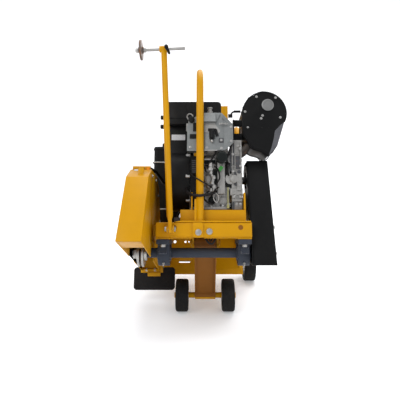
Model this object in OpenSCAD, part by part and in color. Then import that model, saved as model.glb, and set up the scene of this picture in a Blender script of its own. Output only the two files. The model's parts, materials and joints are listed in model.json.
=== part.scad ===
// Walk-behind concrete saw: an engine-driven floor saw in its raised, travelling position.
// The row frame has +Z up, the front of the machine towards -Y, and its origin on the floor.
// Most parts are drawn in chassis axes: the rear axle is the origin and the deck is level.

/* [Chassis] */
// Nose-up tilt of the chassis while its front wheels are wound fully down
pitch = 12; // [6:1:14]
// Distance along the deck from rear axle to blade shaft
wheel_base = 591; // [560:1:620]
// Height of the blade shaft over the rear axle, square to the deck
shaft_rise = 53; // [50:1:58]
// Width of the front beam
beam_w = 334; // [320:1:350]
// Height of the front beam
beam_h = 52; // [48:1:60]
// Depth of the front beam, front to back
beam_d = 70; // [60:1:80]
// Plate thickness of the welded frame
plate = 6; // [5:0.5:8]
// Width over the two side plates
frame_w = 332; // [326:1:334]

/* [Blade shaft and guard] */
// Diameter of the blade shaft
shaft_d = 35; // [30:1:38]
// Diameter of the two blade flanges
flange_d = 98; // [80:1:110]
// Sideways place of the blade's middle plane
blade_x = -224; // [-226:1:-222]
// Radius of the biggest blade that the guard takes
blade_r = 254; // [200:1:256]
// Width of the blade guard
guard_w = 76; // [74:1:80]
// Sheet thickness of the guards
sheet = 3; // [2.5:0.5:4]

/* [Wheels] */
// Radius of the rear wheels
rear_r = 100; // [95:1:105]
// Width of the rear wheels
rear_w = 55; // [45:1:60]
// Sideways distance from the middle to each rear wheel
rear_x = 225; // [222:1:230]
// Radius of the front wheels
front_r = 62.5; // [58:0.5:65]
// Width of the front wheels
front_w = 50; // [40:1:52]
// Sideways distance from the arm's middle to each front wheel
front_x = 92; // [88:1:96]

/* [Lift arm] */
// Length of the arm from its pivot to the front axle
arm_len = 266; // [255:1:270]
// Width of the arm plate
arm_w = 82; // [70:1:84]
// Angle of the arm below the deck's line when wound fully down
arm_drop = 51.5; // [50:0.5:54]
// Angle that the arm folds up through
arm_travel = 33; // [30:1:34]
// Length of the lift lever on the arm and of its twin on the bell crank
lever_len = 45; // [42:1:46]

/* [Engine] */
// Height of the crankshaft over the blade shaft
crank_rise = 276; // [270:1:282]
// Distance of the crankshaft behind the blade shaft
crank_back = 105; // [100:1:110]
// Radius of the blower housing
blower_r = 122; // [116:1:122]
// Radius of the muffler's round top
muffler_r = 87; // [80:1:88]
// Depth of the muffler
muffler_d = 128; // [110:1:135]

/* [Bail, pointer and handles] */
// Outside diameter of the lifting bail's tube
bail_d = 27; // [25:0.5:30]
// Height of the bail's top over the rear axle
bail_top = 763; // [750:1:780]
// Diameter of the pointer post
post_d = 22; // [20:0.5:24]
// Length of the pointer post from its pivot to its cross sleeve
post_len = 667; // [640:1:680]
// Sideways lean of the pointer post
post_lean = 2.9; // [0:0.1:4]
// Diameter of the handlebar tubes
bar_d = 36; // [32:1:38]
// Height of the handlebars over the rear axle
bar_z = 649; // [630:1:660]

/* [Hidden] */
$fn = 64;

// Fits
run = 0.05;

// The middle of the machine's outline, so that the origin is under its centre
middle_x = 19;
middle_y = 230;

// Blade shaft and crankshaft in chassis axes
shaft_y = -wheel_base;
shaft_z = shaft_rise;
crank_y = shaft_y + crank_back;
crank_z = shaft_z + crank_rise;
shaft_r = shaft_d / 2;
arbor_r = 12.7;
crank_r = 15;

// Bearing blocks hang under the beam, with their bolts along Y
block_x = 142;
block_drop = 47.6;
block_w = 46;
block_len = 167;
block_bolt = 63.5;
block_foot = 17;
bolt_hole = 7;
pad_z = shaft_z + block_drop;
pad_half = 24;
beam_z = pad_z + plate;
beam_front = shaft_y - 78;
beam_back = beam_front + beam_d;
deck_z = beam_z + beam_h;
side_x = frame_w / 2;
panel_half = 178;
panel_y = -190;
panel_low = -54;
panel_fold = -13;
frame_back = 70;
touch = 0.2;

// Blade guard, measured from the blade shaft
guard_in = blade_x + guard_w / 2;
guard_out = blade_x - guard_w / 2;
guard_ring = blade_r + 48;
guard_line = [
    rim_at(172), rim_at(123), rim_at(105), rim_at(75), rim_at(57), rim_at(8), [288, -84], [128, -50]
];
split_y = -62;
hinge_z = guard_ring * sin(75) + 7;
hinge_r = 4;
knuckle_r = 8;
flange_r = flange_d / 2;
flange_t = 17;
flange_gap = 7;
flap_y = 294.2;

// Belt drive, measured from the blade shaft
belt_in = 170;
belt_w = 82;
belt_line = [[-76, -40], [69.5, 351], [150, 351], [186, 318], [51, -40]];
driven_r = 36;
drive_r = 31;
pulley_w = 56;
pulley_x = 184;
grooves = 4;
groove_step = 12.7;

// Lift arm and its linkage
arm_x = 6;
arm_y = shaft_y + 47;
arm_z = shaft_z + 36;
arm_tube_r = 21;
arm_pin_r = 12.5;
axle_r = 11;
lever_x = 9;
lever_lean = arm_travel / 2;
crank_pivot_y = -60;
fork_len = 70;
slot_r = 7.2;
screw_y = crank_pivot_y + fork_len;
screw_r = 10;
screw_low = 44;
screw_top = 700;
collar_z = 560;
nut_rest_z = arm_z - fork_len * sin(lever_lean);
lever_dy = lever_len * sin(lever_lean);
lever_dz = lever_len * cos(lever_lean);
rod_r = 6;
pin_r = 5;
rear_axle_r = 10;

// Engine
base_top = deck_z + 46;
base_front = beam_back - 36;
base_back = -346;
base_left = -85;
base_right = 151;
foot_x = [-20, 70];
foot_y = [-606, -366];
case_left = -52;
case_right = 96;
case_r = 92;
vee = 45;
bore_x = 48;
head_top = 152;
port_at = 118;
port_x = bore_x + 48 + touch;
port_y = [crank_y - port_at * sin(vee), crank_y + port_at * sin(vee)];
port_z = crank_z + port_at * cos(vee);
blower_left = -142;
column_x = [103, 142];
air_z = 535;

// Muffler
muffler_x = 242;
muffler_y = -552;
muffler_z = 593;
stay_x = case_right + 22.2 - muffler_x;
stay_y = -506;
body_line = [
    [-19, 84.9], [-62, 61], [-86.5, 14], [-88, -21], [-87, -90], [-68, -121], [-64, -136],
    [-47, -150], [-17, -158], [7, -176], [44, -135], [74, -41], [74, 0]
];
outlet_at = [13, 30];

// Lifting bail
bail_x = -14;
lug_x = -21;
bail_y = -652;
bail_back = -236;
bail_bend = 90;
bail_r = bail_d / 2;

// Pointer
point_x = -116;
point_y = beam_front - 16;
point_z = 135;
rod_len = 188;
rod_left = -108;
disc_r = 38;
disc_x = -86;
sleeve_half = 17;

// Rear controls
bar_x = 172;
bar_y = -120;
bar_bend = 70;
bar_end = 262;
bar_r = bar_d / 2;
grip_len = 118;
console_y = -176;
console_top = 743;
head_z = 640;
key_at = [-60, -112];
key_r = 8;
tap_x = -96;
tap_y = -150;
tap_z = 586;
tap_top = 620;
tail_r = 9.5;
tail_len = 50;
tail_root = 17;
inlet_r = 7;

// Tank and battery stand on the deck
tank_low = [-225, -285, deck_z + touch];
tank_size = [115, 135, 355];
battery_low = [44, -297, deck_z + touch];
battery_size = [110, 130, 150];

// Routes of the hoses and cables, in chassis axes
starter_cable = [
    [-64, -596, 284], [-60, -622, 270], [-50, -648, 259], [-34, -666, 253], [-14, -673, 251],
    [6, -668, 254], [24, -652, 259], [38, -630, 266], [44, -606, 272], [44, -590, 276]
];
throttle_cable = [
    [-52, -606, 344], [-44, -634, 330], [-32, -656, 318], [-18, -671, 308], [-4, -673, 299],
    [10, -664, 292], [22, -646, 288], [30, -624, 286], [34, -602, 286], [34, -588, 287]
];
water_hose = [
    [tap_x, tap_y, 560], [-94, -166, 528], [-93, -196, 478], [-93, -240, 428], [-98, -300, 376],
    [-120, -334, 350], [-154, -352, 336], [-168, -400, 332], [-176, -450, 345], [-190, -500, 362],
    [-206, -540, 368], [-220, -575, 366], [blade_x, shaft_y, 358], [blade_x, shaft_y, 347]
];

// ---------- frames ----------

module chassis() {
    translate([-middle_x, middle_y, rear_r])
        rotate([-pitch, 0, 0])
            children();
}

module at_shaft() {
    chassis() translate([0, shaft_y, shaft_z]) children();
}

module at_crank() {
    chassis() translate([0, crank_y, crank_z]) children();
}

module on_arm() {
    chassis() translate([arm_x, arm_y, arm_z]) rotate([-arm_drop, 0, 0]) children();
}

module on_pointer() {
    chassis() translate([point_x, point_y, point_z]) rotate([0, -post_lean, 0]) children();
}

module both_sides(x) {
    for (s = [-1, 1])
        translate([s * x, 0, 0])
            children();
}

// ---------- shapes ----------

// A cylinder along X from x0 to x1
module rod_x(x0, x1, r) {
    translate([x0, 0, 0]) rotate([0, 90, 0]) cylinder(h = x1 - x0, r = r);
}

// A cylinder along Y from y0 to y1
module rod_y(y0, y1, r) {
    translate([0, y1, 0]) rotate([90, 0, 0]) cylinder(h = y1 - y0, r = r);
}

// A box given by its two corners
module block(a, b) {
    translate(a) cube(b - a);
}

// An outline in the YZ plane made solid from x0 to x1
module slab_x(x0, x1) {
    translate([x0, 0, 0])
        rotate([90, 0, 90])
            linear_extrude(x1 - x0)
                children();
}

// An outline in the XZ plane made solid from y0 to y1
module slab_y(y0, y1) {
    translate([0, y1, 0])
        rotate([90, 0, 0])
            linear_extrude(y1 - y0)
                children();
}

// A rounded rectangle given by two corners
module soft_rect(a, b, r) {
    translate(a + [r, 0]) square([b[0] - a[0] - 2 * r, b[1] - a[1]]);
    translate(a + [0, r]) square([b[0] - a[0], b[1] - a[1] - 2 * r]);
    for (x = [a[0] + r, b[0] - r])
        for (y = [a[1] + r, b[1] - r])
            translate([x, y])
                circle(r);
}

// Two circles joined by their outer tangents
module strap(p, pr, q, qr) {
    d = norm(q - p);
    base = atan2(q[1] - p[1], q[0] - p[0]);
    turn = acos((pr - qr) / d);
    translate(p) circle(pr);
    translate(q) circle(qr);
    polygon([
        p + pr * [cos(base + turn), sin(base + turn)],
        q + qr * [cos(base + turn), sin(base + turn)],
        q + qr * [cos(base - turn), sin(base - turn)],
        p + pr * [cos(base - turn), sin(base - turn)]
    ]);
}

// A quarter bend in the YZ plane about its centre, from direction a through 90 degrees
module bend(radius, r, a) {
    rotate([0, 90, 0])
        rotate([0, 0, a])
            rotate_extrude(angle = 90)
                translate([radius, 0])
                    circle(r);
}

// A hexagonal bolt head, point-down nut or nut along +Z
module hex(across, h) {
    cylinder(h = h, r = across / sqrt(3), $fn = 6);
}

// A tube swept along a list of points, with a ring at each
function unit(v) = v / norm(v);
function heading(p, i) =
    unit(p[min(i + 1, len(p) - 1)] - p[max(i - 1, 0)]);
function side_of(t) = unit(cross(t, abs(t[2]) < 0.9 ? [0, 0, 1] : [0, 1, 0]));
function ring(p, t, r, n) =
    let (u = side_of(t), v = cross(t, u))
    [for (k = [0 : n - 1]) p + r * (cos(360 * k / n) * u + sin(360 * k / n) * v)];

module hose(path, r, n = 8) {
    points = [for (i = [0 : len(path) - 1]) each ring(path[i], heading(path, i), r, n)];
    last = n * (len(path) - 1);
    sides = [
        for (i = [0 : len(path) - 2])
            for (k = [0 : n - 1])
                [i * n + k, (i + 1) * n + k, (i + 1) * n + (k + 1) % n, i * n + (k + 1) % n]
    ];
    polyhedron(
        points = points,
        faces = concat(
            [[for (k = [0 : n - 1]) k]],
            sides,
            [[for (k = [0 : n - 1]) last + n - 1 - k]]
        ),
        convexity = 6
    );
}

// ---------- frame ----------

module front_beam() {
    color("goldenrod")
        chassis()
            difference() {
                union() {
                    slab_x(-beam_w / 2, beam_w / 2)
                        difference() {
                            soft_rect([beam_front, beam_z], [beam_back, deck_z], 5);
                            soft_rect([beam_front + plate, beam_z + plate], [beam_back - plate, deck_z - plate], 2);
                        }
                    both_sides(beam_w / 2 - 2)
                        slab_x(-2, 2)
                            soft_rect([beam_front, beam_z], [beam_back, deck_z], 5);
                    // Two ears that hold the pointer's pivot bolt
                    for (x = [point_x - 12, point_x + 8])
                        slab_x(x, x + 5)
                            difference() {
                                union() {
                                    translate([point_y, point_z]) circle(13);
                                    translate([point_y, point_z - 13]) square([18, 26]);
                                }
                                translate([point_y, point_z]) circle(4.1);
                            }
                    // Lug under the foot of the lifting bail
                    block([lug_x - 16, beam_front - 9, beam_z + 2], [lug_x + 16, beam_front + 1, deck_z - 1]);
                }
                for (x = [-block_x, block_x])
                    translate([x, shaft_y - block_bolt, beam_z - 1])
                        cylinder(h = plate + 2, r = bolt_hole);
            }
}

// A lug in the YZ plane that hangs from the deck's underside round a pivot
module hanging_lug(x, t, at, r, hole) {
    slab_x(x, x + t)
        difference() {
            union() {
                translate(at) circle(r);
                translate(at - [r, 0]) square([2 * r, deck_z - plate - at[1]]);
            }
            translate(at) circle(hole);
        }
}

module deck_plate() {
    color("goldenrod")
        chassis() {
            difference() {
                block([-side_x + plate + touch, beam_back + touch, deck_z - plate], [side_x - plate - touch, frame_back, deck_z]);
                // The depth screw passes through the deck, over the bell crank's fork
                translate([lever_x, screw_y, deck_z - plate - 1]) cylinder(h = plate + 2, r = screw_r + 3);
            }
            for (x = [arm_x - arm_w / 2 - 9, arm_x + arm_w / 2 + 1])
                hanging_lug(x, 8, [arm_y, arm_z], 24, arm_pin_r + 0.02);
            for (x = [lever_x - 46, lever_x + 40])
                hanging_lug(x, 6, [crank_pivot_y, arm_z], 18, pin_r + 3.02);
        }
}

module frame_sides() {
    color("goldenrod")
        chassis() {
            both_sides(side_x - plate / 2)
                difference() {
                    slab_x(-plate / 2, plate / 2)
                        polygon([
                            [beam_back + touch, deck_z], [beam_back + touch, beam_z], [panel_y - 60, beam_z],
                            [panel_y - 6, panel_low + 40], [panel_y, panel_low], [frame_back - 50, panel_low],
                            [frame_back, panel_low + 60], [frame_back, deck_z]
                        ]);
                    rod_x(-plate, plate, rear_axle_r + 0.02);
                }
            // Bearing pads under the beam and side plates
            for (s = [-1, 1])
                difference() {
                    block(
                        [s * block_x - pad_half, beam_front, pad_z],
                        [s * block_x + pad_half, shaft_y + block_len / 2 + 6, beam_z]
                    );
                    for (b = [-block_bolt, block_bolt])
                        translate([s * block_x, shaft_y + b, pad_z - 1])
                            cylinder(h = plate + 2, r = bolt_hole);
                }
            // Cross panel in front of the rear wheels, with a forward-folded lower lip
            difference() {
                slab_x(-panel_half, panel_half)
                    polygon([
                        [panel_y, deck_z - plate - touch], [panel_y, panel_fold], [panel_y - 12, panel_low],
                        [panel_y - 6, panel_low], [panel_y + plate, panel_fold], [panel_y + plate, deck_z - plate - touch]
                    ]);
                block([lever_x - 22, panel_y - 2, arm_z + 20], [lever_x + 22, panel_y + plate + 2, deck_z]);
                block([-110, panel_y - 2, -4], [-60, panel_y + plate + 2, 4]);
                // Cable holes
                for (hole = [[-130, 6], [-82, 4.5], [-66, 3]])
                    translate([hole[0], 0, 88]) rod_y(panel_y - 2, panel_y + plate + 2, hole[1]);
            }
        }
}

module engine_base() {
    color("gold")
        chassis() {
            // Folded tray under the engine
            difference() {
                block([base_left, base_front, deck_z + touch], [base_right, base_back, base_top]);
                block(
                    [base_left + plate, base_front + plate, deck_z - 1],
                    [base_right - plate, base_back - plate, base_top - plate]
                );
                for (x = foot_x)
                    for (y = foot_y)
                        translate([x, y, base_top - plate - 1]) cylinder(h = plate + 2, r = 5.2);
            }
            // Upright cheeks beside the crankcase
            slab_x(-46, -46 + plate)
                polygon([[-634, base_top], [-618, base_top], [-618, base_top + 62], [-628, base_top + 62]]);
            slab_x(base_right - plate, base_right)
                polygon([[-634, base_top], [-520, base_top], [-600, base_top + 62], [-628, base_top + 62]]);
        }
}

// A bolt standing on a surface, head up, with its shank going down
module bolt_down(shank, r, across) {
    translate([0, 0, 1.5]) hex(across, r * 1.3);
    cylinder(h = 1.5, r = across * 0.62);
    translate([0, 0, -shank]) cylinder(h = shank + 1, r = r);
}

module bolts_and_pins() {
    color("silver")
        chassis() {
            // Bearing block bolts: heads below, shanks up through the pads
            for (x = [-block_x, block_x])
                for (b = [-block_bolt, block_bolt])
                    translate([x, shaft_y + b, pad_z - block_foot - touch])
                        rotate([180, 0, 0]) bolt_down(block_foot + 2 * plate + 4, 6, 19);
            // Beam bolts, one through the bail's lug
            for (p = [[lug_x + 2, beam_front - 9 - touch, 124], [19, beam_front - touch, 127]])
                translate(p)
                    rotate([90, 0, 0]) {
                        cylinder(h = 1.6, r = 11);
                        hex(17, 8);
                    }
            // Engine hold-down bolts
            for (x = foot_x)
                for (y = foot_y)
                    translate([x, y, base_top + 12 + touch]) bolt_down(24, 5, 15);
            // Lift arm pivot pin and bell crank pin
            translate([arm_x, arm_y, arm_z]) rod_x(-arm_w / 2 - 14, arm_w / 2 + 14, arm_pin_r);
            translate([lever_x, crank_pivot_y, arm_z]) rod_x(-50, 50, pin_r + 3);
            // Pointer pivot bolt and nut
            translate([point_x, point_y, point_z]) {
                rod_x(-21, 17, 4);
                translate([13.2, 0, 0]) rotate([0, 90, 0]) hex(15, 6);
                translate([-12.2, 0, 0]) rotate([0, -90, 0]) hex(15, 7);
            }
            // Rear axle nuts
            for (s = [-1, 1])
                translate([s * (rear_x + rear_w / 2 + 3), 0, 0])
                    rotate([0, s * 90, 0])
                        difference() {
                            hex(24, 9);
                            translate([0, 0, -1]) cylinder(h = 12, r = rear_axle_r + 0.02);
                        }
            // Hinge pin of the blade guard's nose
            translate([0, shaft_y + split_y, shaft_z + hinge_z]) rod_x(guard_out + 5, guard_in - 5, hinge_r);
        }
}

module rear_axle() {
    spacer = rear_x - rear_w / 2 - 1 - side_x;
    color("dimgray")
        chassis() {
            rod_x(-rear_x - rear_w / 2 - 14, rear_x + rear_w / 2 + 14, rear_axle_r);
            // Spacer sleeves between side plates and wheels
            both_sides(side_x + touch + spacer / 2)
                rod_x(-spacer / 2, spacer / 2, 15);
        }
}

// A solid-rubber wheel on a pressed hub, turned about Z
module wheel(r, w, bore, hub_r) {
    rotate_extrude()
        difference() {
            union() {
                translate([bore, -w / 2]) square([hub_r - bore, w]);
                translate([hub_r - 2, -w * 0.16]) square([r * 0.55 - hub_r + 4, w * 0.32]);
                translate([r * 0.55, -w / 2 + 4]) square([r * 0.45 - 8, w - 8]);
                translate([r * 0.7, -w / 2 + 8]) square([r * 0.3, w - 16]);
                for (z = [-w / 2 + 8, w / 2 - 8])
                    translate([r - 8, z]) circle(8);
            }
            translate([-1, -w]) square([bore + 1, 2 * w]);
        }
}

module rear_wheel(s) {
    color([0.1, 0.1, 0.1])
        chassis()
            translate([s * rear_x, 0, 0])
                rotate([0, 90, 0])
                    wheel(rear_r, rear_w, rear_axle_r + run, 26);
}

module rear_wheel_left() {
    rear_wheel(-1);
}

module rear_wheel_right() {
    rear_wheel(1);
}

// ---------- lift arm, front wheels and depth linkage ----------

module swing_arm() {
    color("goldenrod")
        on_arm() {
            difference() {
                union() {
                    rod_x(-arm_w / 2, arm_w / 2, arm_tube_r);
                    block([-arm_w / 2, 10, -4], [arm_w / 2, arm_len - 8, 4]);
                    for (x = [-arm_w / 2, arm_w / 2 - 5])
                        slab_x(x, x + 5)
                            polygon([[0, -20], [0, 20], [90, 14], [arm_len, 14], [arm_len, -14], [90, -14]]);
                    translate([0, arm_len, 0]) rod_x(-arm_w / 2, arm_w / 2, 16);
                    // Lift lever that pulls the tie rod
                    translate([lever_x - arm_x, 0, 0])
                        rotate([arm_drop, 0, 0])
                            slab_x(-6, 6)
                                difference() {
                                    strap([0, 0], 19, [lever_dy, lever_dz], 12);
                                    translate([lever_dy, lever_dz]) circle(pin_r + run);
                                }
                }
                rod_x(-arm_w, arm_w, arm_pin_r + run);
            }
            // Cross axle, painted with the arm
            translate([0, arm_len, 0]) rod_x(-front_x - front_w / 2 - 6, front_x + front_w / 2 + 6, axle_r);
        }
}

module front_wheel(s) {
    color([0.1, 0.1, 0.1])
        on_arm()
            translate([s * front_x, arm_len, 0])
                rotate([0, 90, 0])
                    wheel(front_r, front_w, axle_r + run, 21);
}

module front_wheel_left() {
    front_wheel(-1);
}

module front_wheel_right() {
    front_wheel(1);
}

module tie_rod() {
    color("dimgray")
        chassis()
            translate([lever_x, arm_y + lever_dy, arm_z + lever_dz]) {
                rod_y(22, crank_pivot_y - arm_y - 22, rod_r);
                // Clevis at each end, with its pin
                for (end = [[0, 1], [crank_pivot_y - arm_y, -1]])
                    translate([0, end[0], 0])
                        mirror([0, end[1] < 0 ? 1 : 0, 0])
                            difference() {
                                union() {
                                    block([-12, -10, -9], [-7, 28, 9]);
                                    block([7, -10, -9], [12, 28, 9]);
                                    block([-12, 19, -9], [12, 28, 9]);
                                }
                                rod_x(-20, 20, end[1] < 0 ? pin_r + 0.6 : pin_r);
                            }
                rod_x(-15, 15, pin_r);
            }
}

module bell_crank() {
    color("dimgray")
        chassis()
            translate([lever_x, crank_pivot_y, arm_z])
                difference() {
                    union() {
                        rod_x(-38, 38, 15);
                        // Lever that the tie rod pulls, the twin of the lever on the arm
                        slab_x(-6, 6)
                            strap([0, 0], 14, [lever_dy, lever_dz], 11);
                        translate([0, lever_dy, lever_dz]) rod_x(-14, 14, pin_r);
                        // Fork whose open slots carry the nut's trunnions
                        rotate([-lever_lean, 0, 0])
                            for (x = [-32, 26])
                                slab_x(x, x + 6)
                                    difference() {
                                        strap([0, 0], 14, [fork_len + 4, 0], 13);
                                        translate([fork_len - 8, 0]) circle(slot_r);
                                        translate([fork_len - 8, -slot_r]) square([30, 2 * slot_r]);
                                    }
                    }
                    rod_x(-60, 60, pin_r + 3 + run);
                }
}

module screw_nut() {
    color("darkgoldenrod")
        chassis()
            translate([lever_x, screw_y, nut_rest_z])
                difference() {
                    union() {
                        block([-20, -15, -14], [20, 15, 14]);
                        rod_x(-36, 36, 6);
                    }
                    translate([0, 0, -20]) cylinder(h = 40, r = screw_r + run);
                }
}

module depth_screw() {
    color("silver")
        chassis()
            translate([lever_x, screw_y, 0]) {
                translate([0, 0, screw_low]) cylinder(h = screw_top - screw_low, r = screw_r);
                // Thrust collars above and below the console's bearing
                for (z = [collar_z - 6.5, collar_z + 6.5])
                    translate([0, 0, z]) cylinder(h = 6, r = 16);
                // Handwheel with a turning knob
                translate([0, 0, screw_top]) {
                    rotate_extrude() translate([76, 0]) circle(8);
                    translate([0, 0, -9]) cylinder(h = 18, r = 17);
                    for (a = [90, 210, 330])
                        rotate([0, 0, a]) rod_x(12, 76, 5);
                    translate([76, 0, 0]) {
                        cylinder(h = 60, r = 5);
                        translate([0, 0, 16]) cylinder(h = 44, r = 11);
                    }
                }
            }
}

// ---------- blade shaft, flanges and bearings ----------

module bearing_housings() {
    color([0.2, 0.24, 0.3])
        at_shaft()
            both_sides(block_x)
                difference() {
                    union() {
                        // Foot, bolted up against the pads
                        translate([-block_w / 2, -block_len / 2, block_drop - 17]) cube([block_w, block_len, 16.8]);
                        rod_x(-21, 21, 45);
                        slab_x(-21, 21) polygon([[-45, 0], [45, 0], [50, block_drop - 10], [-50, block_drop - 10]]);
                    }
                    rod_x(-30, 30, 36);
                    for (b = [-block_bolt, block_bolt])
                        translate([0, b, 0]) cylinder(h = 60, r = 7);
                    translate([-40, -100, block_drop - 0.2]) cube([80, 200, 20]);
                }
}

module bearing_inserts() {
    color("silver")
        at_shaft()
            both_sides(block_x)
                difference() {
                    union() {
                        rod_x(-17.5, 17.5, 35.9);
                        rod_x(-25, 25, 24);
                    }
                    rod_x(-40, 40, shaft_r + run);
                    for (x = [-17.6, 14.6])
                        difference() {
                            rod_x(x, x + 3, 33);
                            rod_x(x - 1, x + 4, 26);
                        }
                }
}

module blade_shaft() {
    color([0.3, 0.31, 0.33])
        at_shaft() {
            rod_x(blade_x + flange_gap / 2 + flange_t, pulley_x + pulley_w + 4, shaft_r);
            rod_x(blade_x - 34, blade_x + flange_gap / 2 + flange_t, arbor_r);
        }
}

module inner_flange() {
    color("silver")
        at_shaft()
            translate([blade_x + flange_gap / 2, 0, 0])
                difference() {
                    union() {
                        rod_x(0, 8, flange_r);
                        rod_x(6, flange_t, 27);
                    }
                    rod_x(-1, flange_t + 1, arbor_r + 0.02);
                }
}

module outer_flange() {
    color("silver")
        at_shaft()
            translate([blade_x - flange_gap / 2, 0, 0])
                difference() {
                    union() {
                        rod_x(-8, 0, flange_r);
                        rod_x(-13, -7, 27);
                    }
                    rod_x(-30, 1, arbor_r + 0.02);
                }
}

module arbor_nut() {
    color("gray")
        at_shaft()
            translate([blade_x - flange_gap / 2 - 13.2, 0, 0])
                rotate([0, -90, 0])
                    difference() {
                        hex(36, 14);
                        translate([0, 0, -1]) cylinder(h = 20, r = arbor_r + 0.02);
                    }
}

// ---------- blade guard ----------

// A point on the guard's rim, by its angle from the rearward direction
function rim_at(a) = guard_ring * [cos(a), sin(a)];

// The whole guard as one sheet-metal shell, open along its lower edge
module guard_shell() {
    difference() {
        slab_x(guard_out, guard_in) polygon(guard_line);
        slab_x(guard_out + sheet, guard_in - sheet) {
            offset(delta = -sheet) polygon(guard_line);
            polygon([
                guard_line[0] + [5.4, -1], guard_line[7] + [0, 12], guard_line[6] + [-3.6, 3],
                guard_line[6] + [-5, -60], guard_line[0] + [-40, -60]
            ]);
        }
    }
}

// The half of space in front of the nose's parting line
module nose_side(clear) {
    translate([guard_out - 20, -400, -200])
        cube([guard_w + 40, 400 + split_y - clear, 600]);
}

module knuckle(x0, x1, r) {
    translate([0, split_y, hinge_z]) rod_x(x0, x1, r);
}

module blade_guard() {
    color("gold")
        at_shaft()
            difference() {
                union() {
                    difference() {
                        guard_shell();
                        nose_side(0);
                        // Slot that lets the inner side drop over the shaft
                        rod_x(guard_in - 10, guard_in + 10, 42);
                        translate([guard_in - 10, -42, -120]) cube([20, 84, 120]);
                        // Window round the outer flange and nut
                        rod_x(guard_out - 10, guard_out + 10, 60);
                        translate([guard_out - 10, -60, -120]) cube([20, 120, 120]);
                        // Room for the nose's knuckle
                        knuckle(guard_out + 27.5, guard_in - 27.5, knuckle_r + 1);
                    }
                    // Rear bracket that carries the splash flap
                    block([guard_out - 4, 288, -92], [guard_in + 14, flap_y - touch, -25]);
                    block([guard_in - 50, 280, -106], [guard_in + 4, 288, -90]);
                    // Spacer that hangs the guard on the side plate
                    block([guard_in - 1, 6, 58], [-side_x - touch, 120, 98]);
                    knuckle(guard_out + 6, guard_out + 27, knuckle_r);
                    knuckle(guard_in - 27, guard_in - 6, knuckle_r);
                }
                knuckle(guard_out, guard_in, hinge_r + 0.02);
                // Inlet of the water pipe
                translate([blade_x, 0, 280]) cylinder(h = 40, r = inlet_r + 0.02);
            }
}

module guard_nose() {
    color("gold")
        at_shaft()
            difference() {
                union() {
                    intersection() {
                        guard_shell();
                        nose_side(1);
                    }
                    knuckle(guard_out + 28, guard_in - 28, knuckle_r);
                    // Pull handle on the nose's front face
                    block([blade_x - 2, -140, 262], [blade_x + 18, -134, 286]);
                }
                for (x = [guard_out + 5.5, guard_in - 27.5])
                    knuckle(x, x + 22, knuckle_r + 1);
                knuckle(guard_out, guard_in, hinge_r + run);
            }
}

module splash_flap() {
    color([0.08, 0.08, 0.08])
        at_shaft()
            slab_y(flap_y, flap_y + 6)
                soft_rect([guard_out - 34, -163], [guard_out + 141, -70], 14);
}

// ---------- water feed ----------

module water_pipes() {
    color("silver")
        chassis() {
            // Tap hung on the console, with its hose tail facing rearward
            translate([tap_x, tap_y, tap_z]) {
                cylinder(h = tap_top - tap_z, r = 13);
                translate([0, 0, -26]) cylinder(h = 27, r = 8);
                translate([0, 0, 17]) {
                    rod_y(0, tail_len, tail_r);
                    rod_y(0, tail_root, 13);
                }
            }
            // Elbow through the guard's roof and the spray bar under it
            translate([blade_x, shaft_y, shaft_z + 262]) {
                cylinder(h = 32, r = inlet_r);
                rod_x(-27, 27, 6);
            }
        }
}

module water_lever() {
    color("firebrick")
        chassis()
            translate([tap_x, tap_y, tap_top + touch]) {
                cylinder(h = 6, r = 9);
                block([-7, -6, 2], [7, 44, 6]);
            }
}

// ---------- belt drive ----------

module belt_cover() {
    color([0.1, 0.1, 0.1])
        at_shaft()
            difference() {
                slab_x(belt_in, belt_in + belt_w) polygon(belt_line);
                slab_x(belt_in - 1, belt_in + belt_w - sheet) offset(delta = -sheet) polygon(belt_line);
            }
}

module belt_back_plate() {
    color([0.14, 0.14, 0.14])
        at_shaft()
            difference() {
                slab_x(belt_in - sheet, belt_in - touch)
                    polygon([[-79, -30], [-62, 14], [51, 318], [150, 348], [180, 318], [51, -36], [-72, -42]]);
                rod_x(belt_in - 10, belt_in + 10, 27);
                translate([0, crank_back, crank_rise]) rod_x(belt_in - 10, belt_in + 10, 36);
            }
}

// The grooved outline of a pulley, to be turned about Y
module pulley(r, bore) {
    rotate([0, 90, 0])
        rotate_extrude()
            difference() {
                translate([bore, 0]) square([r - bore, pulley_w]);
                for (g = [0 : grooves - 1])
                    translate([r, (pulley_w - (grooves - 1) * groove_step) / 2 + g * groove_step])
                        polygon([[1, -5.2], [1, 5.2], [-9, 3.6], [-9, -3.6]]);
            }
}

module driven_pulley() {
    color("gray")
        at_shaft() translate([pulley_x, 0, 0]) pulley(driven_r, shaft_r + 0.02);
}

module drive_pulley() {
    color("gray")
        at_crank() translate([pulley_x, 0, 0]) pulley(drive_r, crank_r + 0.02);
}

// Points along an arc of n flats
function arc(at, r, from, to, n) =
    [for (i = [0 : n]) let (a = from + (to - from) * i / n) at + r * [cos(a), sin(a)]];

// The outline round two pulleys
module belt_loop(grow) {
    far = [crank_back, crank_rise];
    base = atan2(crank_rise, crank_back);
    turn = acos((driven_r - drive_r) / norm(far));
    polygon(concat(
        arc(far, drive_r + grow, base - turn, base + turn, 18),
        arc([0, 0], driven_r + grow, base + turn, base + 360 - turn, 18)
    ));
}

module drive_belts() {
    color([0.07, 0.07, 0.07])
        at_shaft()
            for (g = [0 : grooves - 1])
                translate([pulley_x + (pulley_w - (grooves - 1) * groove_step) / 2 + g * groove_step, 0, 0])
                    slab_x(-3.4, 3.4)
                        difference() {
                            belt_loop(0.5);
                            belt_loop(-5);
                        }
}

// ---------- engine ----------

module crankshaft() {
    color("silver")
        at_crank() {
            rod_x(blower_left + 4, pulley_x + pulley_w + 2, crank_r);
            // Web and balance weight inside the crankcase
            slab_x(8, 20) strap([0, 0], 34, [0, 26], 24);
            slab_x(34, 46) strap([0, 0], 34, [0, 26], 24);
        }
}

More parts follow.
